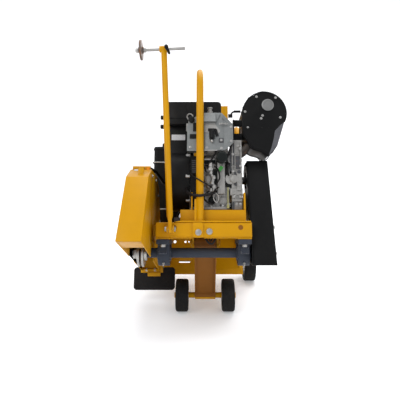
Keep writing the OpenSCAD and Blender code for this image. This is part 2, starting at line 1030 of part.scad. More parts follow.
module flywheel_fan() {
    color([0.3, 0.3, 0.32])
        at_crank()
            difference() {
                union() {
                    rod_x(-104, -84, 96);
                    for (a = [0 : 24 : 359])
                        rotate([a, 0, 0])
                            block([-130, -2, 62], [-103, 2, 98]);
                    rod_x(-130, -103, 30);
                }
                rod_x(-140, -60, crank_r + 0.02);
            }
}

module crankcase() {
    color([0.55, 0.55, 0.55])
        chassis()
            difference() {
                union() {
                    block([case_left, -596, base_top + touch], [case_right, -376, 292]);
                    translate([0, crank_y, crank_z]) rod_x(case_left, case_right, case_r);
                    block([case_left + 8, -618, base_top + touch], [case_right - 8, -354, base_top + 12]);
                    // Arm that carries the oil filter in front of the cylinders
                    block([50, -616, 262], [78, -595, 292]);
                    block([50, -620.8, 262], [78, -614.5, 402]);
                }
                translate([0, crank_y, crank_z]) {
                    rod_x(case_left + 8, case_right - 8, case_r - 14);
                    rod_x(case_left - 1, case_right + 1, crank_r + run);
                }
                for (x = foot_x)
                    for (y = foot_y)
                        translate([x, y, base_top - 1]) cylinder(h = 16, r = 5.2);
            }
}

module side_cover() {
    color("silver")
        at_crank()
            difference() {
                union() {
                    rod_x(case_right + touch, case_right + 22, 84);
                    rod_x(case_right + 20, case_right + 40, 58);
                    rod_x(case_right + 38, case_right + 52, 30);
                    for (a = [30 : 60 : 359])
                        rotate([a, 0, 0])
                            translate([0, 0, 76])
                                rod_x(case_right + touch, case_right + 28, 7);
                    // Cast column at the front corner of the output side, ribbed and flanged
                    block([column_x[0], -126, base_top + touch - crank_z], [column_x[1], -102, 137]);
                    for (z = [-20 : 26 : 120])
                        block([column_x[0] - 2, -129, z], [column_x[1] + 1, -100, z + 5]);
                    block([97, -130, -71], [column_x[1] + 1, -98, -45]);
                    block([100, -110, -20], [118, -70, 20]);
                    translate([98, 0, -11]) rod_y(-130, -110.4, 19);
                }
                rod_x(case_right - 1, case_right + 60, crank_r + run);
            }
}

module blower_housing() {
    color([0.09, 0.09, 0.09])
        at_crank()
            difference() {
                union() {
                    rod_x(blower_left, case_left - touch, blower_r);
                    block([blower_left, -74, 60], [-40, 74, 205]);
                }
                rod_x(blower_left + sheet, case_left + 1, blower_r - sheet);
                block([blower_left + sheet, -74 + sheet, 50], [-40 - sheet, 74 - sheet, 205 - sheet]);
                block([case_left - touch, -100, -130], [-30, 100, case_r + 22]);
                // Slotted air intake on the outer face
                for (k = [-3 : 3])
                    block([blower_left - 1, k * 18 - 6, -60], [blower_left + sheet + 1, k * 18 + 6, 60]);
            }
}

// Places its children on each cylinder's own axis
module on_vee() {
    for (a = [vee, -vee])
        at_crank()
            rotate([a, 0, 0])
                translate([bore_x, 0, 0])
                    children();
}

module cylinders() {
    color("silver")
        on_vee()
            difference() {
                union() {
                    translate([0, 0, case_r + 1]) cylinder(h = head_top - case_r - 1, r = 38);
                    for (k = [0 : 5])
                        translate([-46, -40, case_r + 4 + 8 * k]) cube([92, 80, 3]);
                    translate([-44, -36, head_top - 12]) cube([88, 72, 12]);
                    // Boss of the exhaust port
                    translate([0, 0, port_at]) rod_x(30, 48, 20);
                }
                translate([0, 0, case_r - 1]) cylinder(h = 40, r = 34);
            }
}

module rocker_covers() {
    color("silver")
        on_vee()
            translate([0, 0, head_top + touch])
                linear_extrude(20)
                    soft_rect([-42, -34], [42, 34], 12);
}

module cooling_shroud() {
    outline = [[1, -76], [76, -76], [109, -46], [109, 27], [68, 73], [1, 73]];
    color([0.7, 0.7, 0.7])
        chassis()
            translate([0, -634, 495])
                rotate([-6, 0, 0])
                    difference() {
                        slab_y(-4, 30) polygon(outline);
                        slab_y(-4 + sheet, 40) offset(delta = -sheet) polygon(outline);
                        // Room for the front rocker cover and for the head of the side cover's column
                        block([0, -4 + sheet, -80], [94, 31, -12]);
                        block([90, 15, -80], [120, 31, -20]);
                    }
}

module air_cleaner() {
    color([0.09, 0.09, 0.09])
        chassis() {
            difference() {
                slab_y(-590, -400) soft_rect([-146, air_z], [68, 626], 14);
                slab_y(-586, -404) soft_rect([-142, air_z + 4], [64, 622], 11);
            }
            // Knobs that hold the lid
            for (z = [550, 589])
                translate([0, -495, z]) rod_x(-176, -146, 9);
        }
}

module oil_filter() {
    color([0.12, 0.13, 0.12])
        chassis()
            translate([66, -621, 394])
                rotate([90, 0, 0]) {
                    cylinder(h = 29, r = 20.5);
                    translate([0, 0, 29]) cylinder(h = 3, r1 = 20.5, r2 = 17);
                    // Flutes for the filter wrench
                    for (a = [0 : 30 : 359])
                        rotate([0, 0, a]) translate([19, -2.5, 12]) cube([3.6, 5, 17]);
                }
}

module starter_motor() {
    color([0.16, 0.16, 0.17])
        chassis()
            translate([0, -342, 262]) {
                rod_x(-30, 78, 30);
                rod_x(78, 92, 17);
                translate([0, -14, 40]) rod_x(-4, 60, 15);
            }
}

module carburetor() {
    color("silver")
        chassis()
            translate([bore_x, crank_y, 0]) {
                block([-24, -26, 446], [24, 26, 500]);
                translate([0, 0, 500]) cylinder(h = air_z - 500 - touch, r = 20);
                translate([0, 0, 473]) rod_y(-44, 44, 16);
            }
}

module exhaust_pipes() {
    front = [
        [port_x, port_y[0], port_z], [112, port_y[0], port_z], [128, -567, 416], [142, -562, 421],
        [154, -555, 430], [164, -546, 443], [172, -537, 459], [179, -530, 477], [186, -526, 496]
    ];
    rear = [
        [port_x, port_y[1], port_z], [112, port_y[1], port_z], [126, -406, 418], [138, -414, 430],
        [146, -424, 446], [152, -436, 462], [160, -446, 478], [172, -452, 490], [186, -455, 498]
    ];
    color([0.15, 0.14, 0.13])
        chassis() {
            hose(front, 15, 12);
            hose(rear, 15, 12);
            // Flanges on the cylinders' bosses
            for (y = port_y)
                translate([0, y, port_z]) rod_x(port_x, port_x + 4, 21);
        }
}

// Seen from the front: a round top cut by two flats, over a body that narrows downward
module muffler_outline() {
    polygon(body_line);
    difference() {
        circle(muffler_r);
        polygon([body_line[0], body_line[1], body_line[2], [-120, 14], [-120, 120], [-19, 120]]);
    }
}

module muffler() {
    color([0.06, 0.06, 0.06])
        chassis()
            translate([muffler_x, 0, muffler_z])
                difference() {
                    union() {
                        slab_y(muffler_y, muffler_y + muffler_d) muffler_outline();
                        translate([outlet_at[0], 0, outlet_at[1]]) rod_y(muffler_y - 7, muffler_y + 1, 23.5);
                        // Bracket: a strap up from the engine's side cover and two stays
                        block([stay_x, stay_y - 8, -201], [stay_x + plate, stay_y + 12, -17]);
                        for (z = [-102, -45])
                            block([stay_x, stay_y, z], [-80, stay_y + plate, z + 28]);
                    }
                    slab_y(muffler_y + 2, muffler_y + muffler_d - 2) offset(delta = -2) muffler_outline();
                    translate([outlet_at[0], 0, outlet_at[1]]) rod_y(muffler_y - 8, muffler_y + 3, 20.5);
                }
}

module heat_shield() {
    color([0.6, 0.6, 0.6])
        chassis()
            translate([muffler_x, 0, muffler_z]) {
                // Face over the muffler's lower corner, folded back along its side
                slab_y(muffler_y - 2, muffler_y - touch)
                    polygon([[65, -48], [76.2, -41.7], [46, -135.6], [10, -176], [21, -146], [32, -108], [38.5, -75]]);
                slab_y(muffler_y - 2, muffler_y + muffler_d - 14)
                    polygon([[70.7, -52.1], [72.6, -52.7], [46.1, -135.7], [44.2, -135.1]]);
            }
}

// ---------- tank and battery ----------

module fuel_tank() {
    color([0.08, 0.08, 0.08])
        chassis()
            translate(tank_low)
                difference() {
                    union() {
                        linear_extrude(tank_size[2]) soft_rect([0, 0], [tank_size[0], tank_size[1]], 18);
                        translate([0, 0, tank_size[2] - 14])
                            linear_extrude(8) soft_rect([-3, -3], [tank_size[0] + 3, tank_size[1] + 3], 20);
                        translate([60, 66, tank_size[2] - 1]) cylinder(h = 15, r = 22);
                    }
                    translate([0, 0, 4])
                        linear_extrude(tank_size[2] - 8) soft_rect([4, 4], [tank_size[0] - 4, tank_size[1] - 4], 14);
                    translate([60, 66, tank_size[2] - 10]) cylinder(h = 40, r = 18);
                }
}

module fuel_cap() {
    color([0.1, 0.1, 0.1])
        chassis()
            translate(tank_low + [60, 66, tank_size[2] + 14 + touch]) {
                cylinder(h = 12, r = 26);
                for (a = [0 : 30 : 359])
                    rotate([0, 0, a]) translate([24, -3, 0]) cube([4, 6, 12]);
                translate([0, 0, -8]) cylinder(h = 9, r = 17.9);
            }
}

module battery() {
    color([0.12, 0.12, 0.12])
        chassis()
            translate(battery_low) {
                linear_extrude(battery_size[2] - 20) soft_rect([0, 0], [battery_size[0], battery_size[1]], 6);
                translate([4, 4, battery_size[2] - 21]) cube([battery_size[0] - 8, battery_size[1] - 8, 14]);
                for (x = [22, battery_size[0] - 22])
                    translate([x, 22, battery_size[2] - 8]) cylinder(h = 16, r = 8);
            }
}

// ---------- bail and pointer ----------

module bail_path(r) {
    top = bail_top - bail_r;
    translate([bail_x, 0, 0]) {
        translate([0, bail_y, deck_z + touch]) cylinder(h = top - bail_bend - deck_z - touch, r = r);
        translate([0, bail_back, deck_z + touch]) cylinder(h = top - bail_bend - deck_z - touch, r = r);
        translate([0, 0, top]) rod_y(bail_y + bail_bend, bail_back - bail_bend, r);
        translate([0, bail_y + bail_bend, top - bail_bend]) bend(bail_bend, r, 180);
        translate([0, bail_back - bail_bend, top - bail_bend]) bend(bail_bend, r, 90);
    }
}

module lifting_bail() {
    color("gold")
        chassis() {
            bail_path(bail_r);
            // Foot plate of the rear leg
            translate([bail_x, bail_back, deck_z + touch]) translate([-30, -30, 0]) cube([60, 60, 6]);
            // Gusset beside the front leg, welded down to the beam
            slab_x(bail_x - bail_r - 6, bail_x - bail_r + 2)
                polygon([[bail_y - 12, deck_z + touch], [bail_y + 14, deck_z + touch], [bail_y + 6, deck_z + 82], [bail_y - 4, deck_z + 82]]);
        }
}

module pointer_post() {
    color("gold")
        on_pointer()
            difference() {
                union() {
                    slab_x(-5.5, 6.5) strap([0, 0], 14, [0, 48], 11);
                    translate([0, 0, 44]) cylinder(h = post_len - 44 - 8, r = post_d / 2);
                    translate([0, 0, 30]) cylinder(h = 15, r1 = 6.5, r2 = post_d / 2);
                    translate([0, 0, post_len]) rod_x(-sleeve_half, sleeve_half, 12.5);
                }
                rotate([0, post_lean, 0]) rod_x(-20, 20, 4 + run);
                translate([0, 0, post_len]) {
                    rod_x(-sleeve_half - 1, sleeve_half + 1, rod_r + run);
                    translate([10, 0, 0]) rod_y(-20, 0, 4 + run);
                }
            }
}

module pointer_rod() {
    color("silver")
        on_pointer()
            translate([0, 0, post_len]) {
                rod_x(rod_left, rod_left + rod_len, rod_r);
                for (x = [disc_x - 19, disc_x + 10])
                    rod_x(x, x + 9, 9.5);
            }
}

module pointer_disc() {
    color([0.4, 0.35, 0.3])
        on_pointer()
            translate([disc_x, 0, post_len])
                difference() {
                    union() {
                        rod_x(-4, 4, disc_r);
                        rod_x(-9, 9, 13);
                    }
                    rod_x(-20, 20, rod_r + run);
                }
}

module rod_clamp() {
    color([0.08, 0.08, 0.08])
        on_pointer()
            translate([10, 0, post_len]) {
                rod_y(-24, -6.4, 4);
                rod_y(-25, -13, 7);
                slab_y(-24, -17) strap([0, 0], 6, [10, -26], 4.5);
            }
}

// ---------- handles and controls ----------

module handlebars() {
    color("gold")
        chassis()
            both_sides(bar_x) {
                translate([0, bar_y, deck_z + touch]) cylinder(h = bar_z - bar_bend - deck_z - touch, r = bar_r);
                translate([0, bar_y + bar_bend, bar_z - bar_bend]) bend(bar_bend, bar_r, 180);
                translate([0, 0, bar_z]) rod_y(bar_y + bar_bend, bar_end - grip_len, bar_r);
                translate([0, 0, bar_z]) rod_y(bar_end - grip_len - 1, bar_end - 5, bar_r - 4);
                // Flange bolted to the deck's edge
                block([-24, bar_y - 26, deck_z + touch], [24, bar_y + 26, deck_z + 9]);
            }
}

module handle_grips() {
    color([0.08, 0.08, 0.08])
        chassis()
            both_sides(bar_x)
                translate([0, 0, bar_z])
                    difference() {
                        union() {
                            rod_y(bar_end - grip_len + 0.5, bar_end, bar_r);
                            rod_y(bar_end - grip_len + 0.5, bar_end - grip_len + 8, bar_r + 4);
                            rod_y(bar_end - 8, bar_end, bar_r + 1.5);
                        }
                        rod_y(bar_end - grip_len - 5, bar_end - 4.5, bar_r - 3.8);
                    }
}

module console() {
    color("gold")
        chassis()
            difference() {
                union() {
                    // Upright sheet column, open at the back
                    difference() {
                        block([-52, -165, deck_z + touch], [70, -105, head_z + 1]);
                        block([-52 + sheet, -165 + sheet, deck_z - 1], [70 - sheet, -100, head_z]);
                    }
                    // Head with its sloping control face
                    difference() {
                        slab_x(-124, 121)
                            polygon([
                                [console_y, head_z], [console_y, console_top], [-150, console_top],
                                [-84, 700], [-84, head_z]
                            ]);
                        slab_x(-124 + sheet, 121 - sheet)
                            polygon([
                                [console_y + sheet, head_z + sheet], [console_y + sheet, console_top - sheet],
                                [-152, console_top - sheet], [-84 - sheet, 700 - sheet], [-84 - sheet, head_z + sheet]
                            ]);
                    }
                    // Shelf that carries the depth screw, with its gusset
                    block([lever_x - 26, -164, collar_z], [lever_x + 26, screw_y + 26, collar_z + 6]);
                    block([lever_x - 3, -164, collar_z - 60], [lever_x + 3, screw_y - 24, collar_z + 1]);
                    // Tab that holds the water tap
                    block([-112, console_y, 590], [-80, tap_y - 13, head_z + 1]);
                }
                translate([lever_x, screw_y, collar_z - 1]) cylinder(h = 10, r = screw_r + run);
                // Slot of the throttle lever and bore of the key switch
                block([76, -144, head_z + 30], [84, -90, console_top + 1]);
                translate([key_at[0], key_at[1], head_z + 30]) cylinder(h = 90, r = key_r + run);
            }
}

module throttle_lever() {
    color([0.1, 0.1, 0.1])
        chassis()
            translate([80, -118, 672]) {
                slab_x(-2, 2) strap([0, 0], 9, [0, 74], 6);
                translate([0, 0, 80]) sphere(r = 13);
                rod_x(-12, 12, 4);
            }
}

module ignition_key() {
    color("silver")
        chassis()
            translate([key_at[0], key_at[1], 0]) {
                translate([0, 0, 692]) cylinder(h = 46, r = key_r);
                translate([0, 0, 738]) rod_x(-1.5, 1.5, 14);
            }
}

module cables() {
    color([0.05, 0.05, 0.05])
        chassis() {
            hose(starter_cable, 5, 8);
            hose(throttle_cable, 2.6, 8);
            hose(water_hose, 7, 8);
        }
}

// ---------- the parts ----------

front_beam();
deck_plate();
frame_sides();
engine_base();
bolts_and_pins();
bearing_housings();
bearing_inserts();
blade_guard();
guard_nose();
splash_flap();
water_pipes();
water_lever();
belt_cover();
belt_back_plate();
drive_belts();
driven_pulley();
drive_pulley();
blade_shaft();
inner_flange();
outer_flange();
arbor_nut();
crankshaft();
flywheel_fan();
crankcase();
side_cover();
blower_housing();
cylinders();
rocker_covers();
cooling_shroud();
air_cleaner();
oil_filter();
starter_motor();
carburetor();
exhaust_pipes();
muffler();
heat_shield();
fuel_tank();
fuel_cap();
battery();
lifting_bail();
pointer_post();
pointer_rod();
pointer_disc();
rod_clamp();
swing_arm();
rear_axle();
front_wheel_left();
front_wheel_right();
rear_wheel_left();
rear_wheel_right();
handlebars();
handle_grips();
console();
throttle_lever();
ignition_key();
depth_screw();
screw_nut();
bell_crank();
tie_rod();
cables();
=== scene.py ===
"""Walk-behind concrete saw: looks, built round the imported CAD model.

Sizes are in millimetres in the chassis axes, as in the CAD: the rear axle is the
origin, the deck is level, the front is -Y. CHASSIS turns them into the row frame, in metres.
"""

import json
import math

import bmesh
import bpy
from mathutils import Matrix, Vector


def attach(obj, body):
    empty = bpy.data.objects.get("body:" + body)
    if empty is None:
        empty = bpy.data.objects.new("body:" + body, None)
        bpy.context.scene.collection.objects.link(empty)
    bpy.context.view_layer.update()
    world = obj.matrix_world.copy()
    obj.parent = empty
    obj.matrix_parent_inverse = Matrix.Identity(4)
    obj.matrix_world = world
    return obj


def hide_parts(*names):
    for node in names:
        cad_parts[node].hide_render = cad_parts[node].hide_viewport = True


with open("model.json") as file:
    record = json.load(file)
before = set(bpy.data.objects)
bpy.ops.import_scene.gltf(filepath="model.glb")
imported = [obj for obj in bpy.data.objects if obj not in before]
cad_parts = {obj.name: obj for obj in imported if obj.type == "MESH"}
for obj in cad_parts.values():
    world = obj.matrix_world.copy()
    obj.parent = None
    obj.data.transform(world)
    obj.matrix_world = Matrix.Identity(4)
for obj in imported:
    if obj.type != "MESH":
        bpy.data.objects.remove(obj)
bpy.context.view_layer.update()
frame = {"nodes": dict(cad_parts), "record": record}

# ---------- driving sizes, the same as the CAD's ----------

PITCH = 12  # degrees the nose is lifted
MIDDLE_X, MIDDLE_Y, REAR_R = 19, 230, 100  # how far the rear axle is from the row frame's origin
ARM_PIVOT = (6, -544, 89)
ARM_SWING = 51.5  # degrees the arm hangs below the deck's plane
ARM_LENGTH = 266
FRONT_TRACK, FRONT_R, FRONT_WIDTH = 92, 62.5, 50
REAR_TRACK, REAR_WIDTH = 225, 55
SHAFT_Y, SHAFT_Z = -591, 53
CRANK_Y, CRANK_Z = -486, 329
BLADE_X = -224
BEAM_FRONT = -669
PEDESTAL_X = 172  # the handle posts stand this far from the middle
MUFFLER_X, MUFFLER_Y, MUFFLER_Z, MUFFLER_D = 242, -552, 593, 128


def spot(x, y, z):
    return Matrix.Translation((x, y, z))


def turn(degrees, axis):
    return Matrix.Rotation(math.radians(degrees), 4, axis)


MILLIMETRES = Matrix.Scale(0.001, 4)
CHASSIS = spot(-MIDDLE_X / 1000, MIDDLE_Y / 1000, REAR_R / 1000) @ turn(-PITCH, "X") @ MILLIMETRES
FROM_ROW = CHASSIS.inverted()
ARM = CHASSIS @ spot(*ARM_PIVOT) @ turn(-ARM_SWING, "X")
MUFFLER = CHASSIS @ spot(MUFFLER_X, 0, MUFFLER_Z)
SHROUD_FACE = CHASSIS @ spot(0, -634, 495) @ turn(-6, "X")
CONSOLE_FACE = CHASSIS @ spot(0, -150, 743) @ turn(-33.1, "X")


# ---------- materials ----------

class Shader:
    """A node material with the few joins that every finish here needs."""

    def __init__(self, name):
        self.material = bpy.data.materials.new(name)
        self.material.use_nodes = True
        self.tree = self.material.node_tree
        self.bsdf = self.tree.nodes["Principled BSDF"]
        self.coords = self.node("ShaderNodeTexCoord").outputs["Object"]

    def node(self, kind, **values):
        made = self.tree.nodes.new(kind)
        for key, value in values.items():
            setattr(made, key, value)
        return made

    def join(self, a, b):
        self.tree.links.new(a, b)

    def noise(self, scale, detail=4.0, roughness=0.55, stretch=(1, 1, 1)):
        mapping = self.node("ShaderNodeMapping")
        mapping.inputs["Scale"].default_value = stretch
        self.join(self.coords, mapping.inputs["Vector"])
        made = self.node("ShaderNodeTexNoise")
        made.inputs["Scale"].default_value = scale
        made.inputs["Detail"].default_value = detail
        made.inputs["Roughness"].default_value = roughness
        self.join(mapping.outputs["Vector"], made.inputs["Vector"])
        return made.outputs["Fac"]

    def ramp(self, value, low, high, a=0.0, b=1.0):
        """Maps value from low..high to a..b, held at the ends."""
        made = self.node("ShaderNodeMapRange")
        made.inputs["From Min"].default_value = low
        made.inputs["From Max"].default_value = high
        made.inputs["To Min"].default_value = a
        made.inputs["To Max"].default_value = b
        self.join(value, made.inputs["Value"])
        return made.outputs["Result"]

    def maths(self, operation, a, b):
        made = self.node("ShaderNodeMath", operation=operation)
        for socket, value in zip(made.inputs, (a, b)):
            if isinstance(value, (int, float)):
                socket.default_value = value
            else:
                self.join(value, socket)
        return made.outputs["Value"]

    def times(self, a, b):
        return self.maths("MULTIPLY", a, b)

    def mix(self, factor, a, b):
        """Blends colour a into colour b by factor."""
        made = self.node("ShaderNodeMix", data_type="RGBA")
        for socket, value in ((made.inputs["Factor"], factor), (made.inputs[6], a), (made.inputs[7], b)):
            if isinstance(value, tuple):
                socket.default_value = (*value, 1)
            else:
                self.join(value, socket)
        return made.outputs[2]

    def edges(self, radius):
        """1 along the edges and corners of a part, 0 on its flats."""
        made = self.node("ShaderNodeBevel", samples=4)
        made.inputs["Radius"].default_value = radius
        shape = self.node("ShaderNodeNewGeometry")
        product = self.node("ShaderNodeVectorMath", operation="DOT_PRODUCT")
        self.join(made.outputs["Normal"], product.inputs[0])
        self.join(shape.outputs["Normal"], product.inputs[1])
        return self.ramp(product.outputs["Value"], 0.985, 0.8)

    def bump(self, height, strength, distance):
        made = self.node("ShaderNodeBump")
        made.inputs["Strength"].default_value = strength
        made.inputs["Distance"].default_value = distance
        self.join(height, made.inputs["Height"])
        self.join(made.outputs["Normal"], self.bsdf.inputs["Normal"])

    def paint(self, colour, rough):
        self.join(colour, self.bsdf.inputs["Base Color"])
        self.join(rough, self.bsdf.inputs["Roughness"])


def darker(colour, share):
    return tuple(c * share for c in colour)


def painted(name, colour, dust, bare, gloss=0.3, wear=0.5):
    """Enamel over steel: a slight mottle, dust in patches, and small chips along the edges."""
    shader = Shader(name)
    broad = shader.noise(6, 5)
    fine = shader.noise(140, 6, 0.7)
    shade = shader.mix(shader.ramp(broad, 0.3, 0.75), colour, darker(colour, 0.86))
    dirty = shader.times(shader.ramp(broad, 0.52, 0.8), shader.ramp(fine, 0.35, 0.7))
    shade = shader.mix(shader.times(dirty, 0.55), shade, dust)
    flakes = shader.ramp(shader.noise(95, 5, 0.75), 0.62 - 0.12 * wear, 0.66 - 0.1 * wear)
    chips = shader.times(shader.edges(0.0022), flakes)
    shade = shader.mix(chips, shade, bare)
    rough = shader.ramp(shader.noise(35, 4), 0.2, 0.8, gloss - 0.06, gloss + 0.14)
    shader.paint(shade, shader.maths("ADD", rough, shader.times(dirty, 0.25)))
    shader.bsdf.inputs["Metallic"].default_value = 0.0
    shader.bsdf.inputs["Specular IOR Level"].default_value = 0.16
    peel = shader.noise(900, 2, 0.5)
    shader.bump(shader.maths("SUBTRACT", peel, shader.times(chips, 2.0)), 0.12, 0.0004)
    return shader.material


def metallic(name, colour, rust, rough=0.35, rusted=0.2, grain=(1, 1, 1), pits=300, lift=0.2):
    """Bare metal with directional grain or casting pits, tarnish and a little rust."""
    shader = Shader(name)
    scratch = shader.noise(pits, 4, 0.6, stretch=grain)
    cloud = shader.noise(22, 5, 0.6)
    shade = shader.mix(shader.ramp(cloud, 0.3, 0.7), colour, darker(colour, 0.72))
    shade = shader.mix(shader.times(shader.ramp(scratch, 0.45, 0.8), 0.4), shade, darker(colour, 0.5))
    patches = shader.ramp(shader.noise(60, 6, 0.75), 0.66 - 0.2 * rusted, 0.78 - 0.2 * rusted)
    spots = shader.times(patches, min(1.0, rusted * 4))
    shade = shader.mix(spots, shade, rust)
    base = shader.ramp(scratch, 0.2, 0.8, rough - 0.1, rough + 0.15)
    shader.paint(shade, shader.maths("ADD", base, shader.times(spots, 0.35)))
    shader.join(shader.ramp(spots, 0, 1, 0.92, 0.25), shader.bsdf.inputs["Metallic"])
    shader.bump(scratch, lift, 0.0005)
    return shader.material


def moulded(name, colour, dust, rough=0.5, grain=700, dusty=0.4, lift=0.25):
    """Grained plastic or rubber with pale dust and scuffs on its edges."""
    shader = Shader(name)
    cloud = shader.noise(9, 5, 0.6)
    speck = shader.noise(grain, 3, 0.6)
    shade = shader.mix(shader.ramp(speck, 0.3, 0.7), colour, tuple(c * 1.5 + 0.004 for c in colour))
    film = shader.times(shader.ramp(cloud, 0.45, 0.75), dusty)
    shade = shader.mix(shader.times(film, shader.ramp(shader.noise(120, 5, 0.7), 0.35, 0.7)), shade, dust)
    scuff = shader.times(shader.edges(0.003), shader.ramp(shader.noise(70, 4, 0.7), 0.5, 0.62, 0, 0.5))
    shade = shader.mix(scuff, shade, dust)
    shader.paint(shade, shader.ramp(shader.noise(50, 3), 0.25, 0.75, rough - 0.08, rough + 0.12))
    shader.bsdf.inputs["Specular IOR Level"].default_value = 0.14
    shader.bump(speck, lift, 0.0006)
    return shader.material


RUST = (0.22, 0.09, 0.035)
STEEL = (0.42, 0.41, 0.39)
EVEN = (1, 1, 1)  # no direction in the grain
BRUSHED = (1, 1, 6)
TURNED = (14, 1, 1)
FINISH = {
    "yellow_paint": painted(
        "enamel_yellow", (0.55, 0.262, 0.0), dust=(0.33, 0.16, 0.004), bare=(0.26, 0.17, 0.08), gloss=0.34),
    # Yellow enamel darkened to brown: painted shade for yellow parts turned away from the lamps, with the
    # usual dust and chips over it.
    "yellow_in_painted_shade": painted(
        "enamel_yellow_painted_shade", (0.21, 0.078, 0.010), dust=(0.15, 0.07, 0.02), bare=(0.12, 0.07, 0.04), gloss=0.5),
    "slate": painted(
        "enamel_slate", (0.030, 0.036, 0.050), dust=(0.075, 0.072, 0.07), bare=STEEL, gloss=0.45, wear=0.6),
    "black_sheet": painted(
        "enamel_black", (0.002, 0.002, 0.002), dust=(0.012, 0.011, 0.010), bare=(0.10, 0.095, 0.09),
        gloss=0.42, wear=0.3),
    "black_painted": painted(
        "enamel_engine_black", (0.006, 0.008, 0.007), dust=(0.03, 0.026, 0.022), bare=STEEL,
        gloss=0.34, wear=0.4),
    "zinc_steel": metallic("zinc_plate", (0.46, 0.45, 0.43), RUST, 0.36, 0.12, EVEN, 260, 0.15),
    "bright_steel": metallic("turned_steel", (0.50, 0.49, 0.46), RUST, 0.28, 0.35, TURNED, 240, 0.2),
    "dark_steel": metallic("oiled_steel", (0.10, 0.10, 0.105), RUST, 0.42, 0.25, EVEN, 240, 0.25),
    "cast_aluminium": metallic(
        "cast_alloy", (0.36, 0.35, 0.33), (0.06, 0.055, 0.045), 0.55, 0.22, EVEN, 420, 0.5),
    "bare_shroud": metallic(
        "pressed_alloy", (0.25, 0.26, 0.255), (0.10, 0.09, 0.08), 0.5, 0.1, BRUSHED, 180, 0.1),
    "shield_steel": metallic(
        "shield_steel", (0.13, 0.13, 0.14), (0.06, 0.05, 0.045), 0.5, 0.15, BRUSHED, 180, 0.15),
    "bronze": metallic("bronze_nut", (0.50, 0.31, 0.12), (0.10, 0.06, 0.03), 0.36, 0.2),
    "rusty_iron": metallic("rusty_iron", (0.20, 0.17, 0.15), RUST, 0.55, 0.75, EVEN, 300, 0.5),
    "hot_steel": metallic("heat_tinted_steel", (0.05, 0.042, 0.036), RUST, 0.55, 0.4),
    "black_plastic": moulded("moulded_black", (0.003, 0.003, 0.003), (0.03, 0.028, 0.026), 0.45, 900, 0.3),
    "black_rubber": moulded("black_rubber", (0.006, 0.005, 0.005), (0.06, 0.05, 0.04), 0.65, 500, 0.45, 0.35),
    "tyre_rubber": moulded("tyre_rubber", (0.005, 0.005, 0.005), (0.05, 0.045, 0.038), 0.7, 380, 0.5, 0.5),
    "red_handle": moulded("red_plastic", (0.42, 0.02, 0.015), (0.3, 0.2, 0.17), 0.4, 600, 0.3),
    "pale_plate": moulded("blank_label", (0.42, 0.42, 0.43), (0.30, 0.29, 0.28), 0.4, 500, 0.4, 0.1),
    "green_plastic": moulded("green_plastic", (0.03, 0.16, 0.03), (0.1, 0.12, 0.08), 0.45, 600, 0.3),
    "dip_yellow": moulded("dipstick_yellow", (0.26, 0.25, 0.10), (0.2, 0.18, 0.1), 0.45, 600, 0.3),
    "orange_tab": moulded("orange_tab", (0.60, 0.17, 0.01), (0.5, 0.25, 0.1), 0.4, 600, 0.2),
    "mesh_steel": metallic(
        "screen_steel", (0.32, 0.32, 0.31), (0.08, 0.08, 0.075), 0.45, 0.1, EVEN, 500, 0.3),
}


# ---------- mesh tools ----------

def soften(bm, width, angle, segments=2):
    """Rounds every edge sharper than angle, in the mesh's own units."""
    limit = math.radians(angle)
    sharp = [e for e in bm.edges if len(e.link_faces) == 2 and e.calc_face_angle(0) > limit]
    if width and sharp:
        bmesh.ops.bevel(
            bm, geom=sharp, offset=width, offset_type="OFFSET", segments=segments,
            profile=0.6, affect="EDGES", clamp_overlap=False, miter_outer="ARC",
        )


def into_scene(bm, name, body, finish, angle=32):
    """Makes a mesh object that rides on a CAD body and wears a finish."""
    mesh = bpy.data.meshes.new(name)
    bmesh.ops.recalc_face_normals(bm, faces=bm.faces)
    bm.to_mesh(mesh)
    bm.free()
    for polygon in mesh.polygons:
        polygon.use_smooth = True
    mesh.set_sharp_from_angle(angle=math.radians(angle))
    thing = bpy.data.objects.new(name, mesh)
    bpy.context.scene.collection.objects.link(thing)
    thing.data.materials.append(FINISH[finish])
    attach(thing, body)
    return thing


SLOT_OF = {row["node"]: row["material_slot"] for row in frame["record"]["subparts"]}
BODY_OF = {n: b for b, members in frame["record"]["behaviour"]["bodies"].items() for n in members}
WELD_GAP = 2e-5  # metres
FLAT_ANGLE = 0.6  # degrees under which neighbouring facets are one face
SHARP_ANGLE = 30  # degrees over which a CAD edge is rounded


def refine(node, finish, width, second=None, inside=None, whole=False):
    """The CAD node's own shape with welded faces and rounded edges, in its finish.

    Faces whose middle (or every corner, if whole) in chassis millimetres is inside() wear
    the second finish.
    """
    bm = bmesh.new()
    bm.from_mesh(frame["nodes"][node].data)
    bmesh.ops.remove_doubles(bm, verts=bm.verts, dist=WELD_GAP)
    bmesh.ops.dissolve_limit(
        bm, angle_limit=math.radians(FLAT_ANGLE), verts=bm.verts, edges=bm.edges,
        use_dissolve_boundaries=False,
    )
    soften(bm, width / 1000, SHARP_ANGLE)
    thing = into_scene(bm, node + "_looks", BODY_OF[node], finish or SLOT_OF[node])
    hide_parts(node)
    if second:
        thing.data.materials.append(FINISH[second])
        for polygon in thing.data.polygons:
            points = [polygon.center]
            if whole:
                points = [thing.data.vertices[k].co for k in polygon.vertices]
            if all(inside(FROM_ROW @ p) for p in points):
                polygon.material_index = 1
    return thing


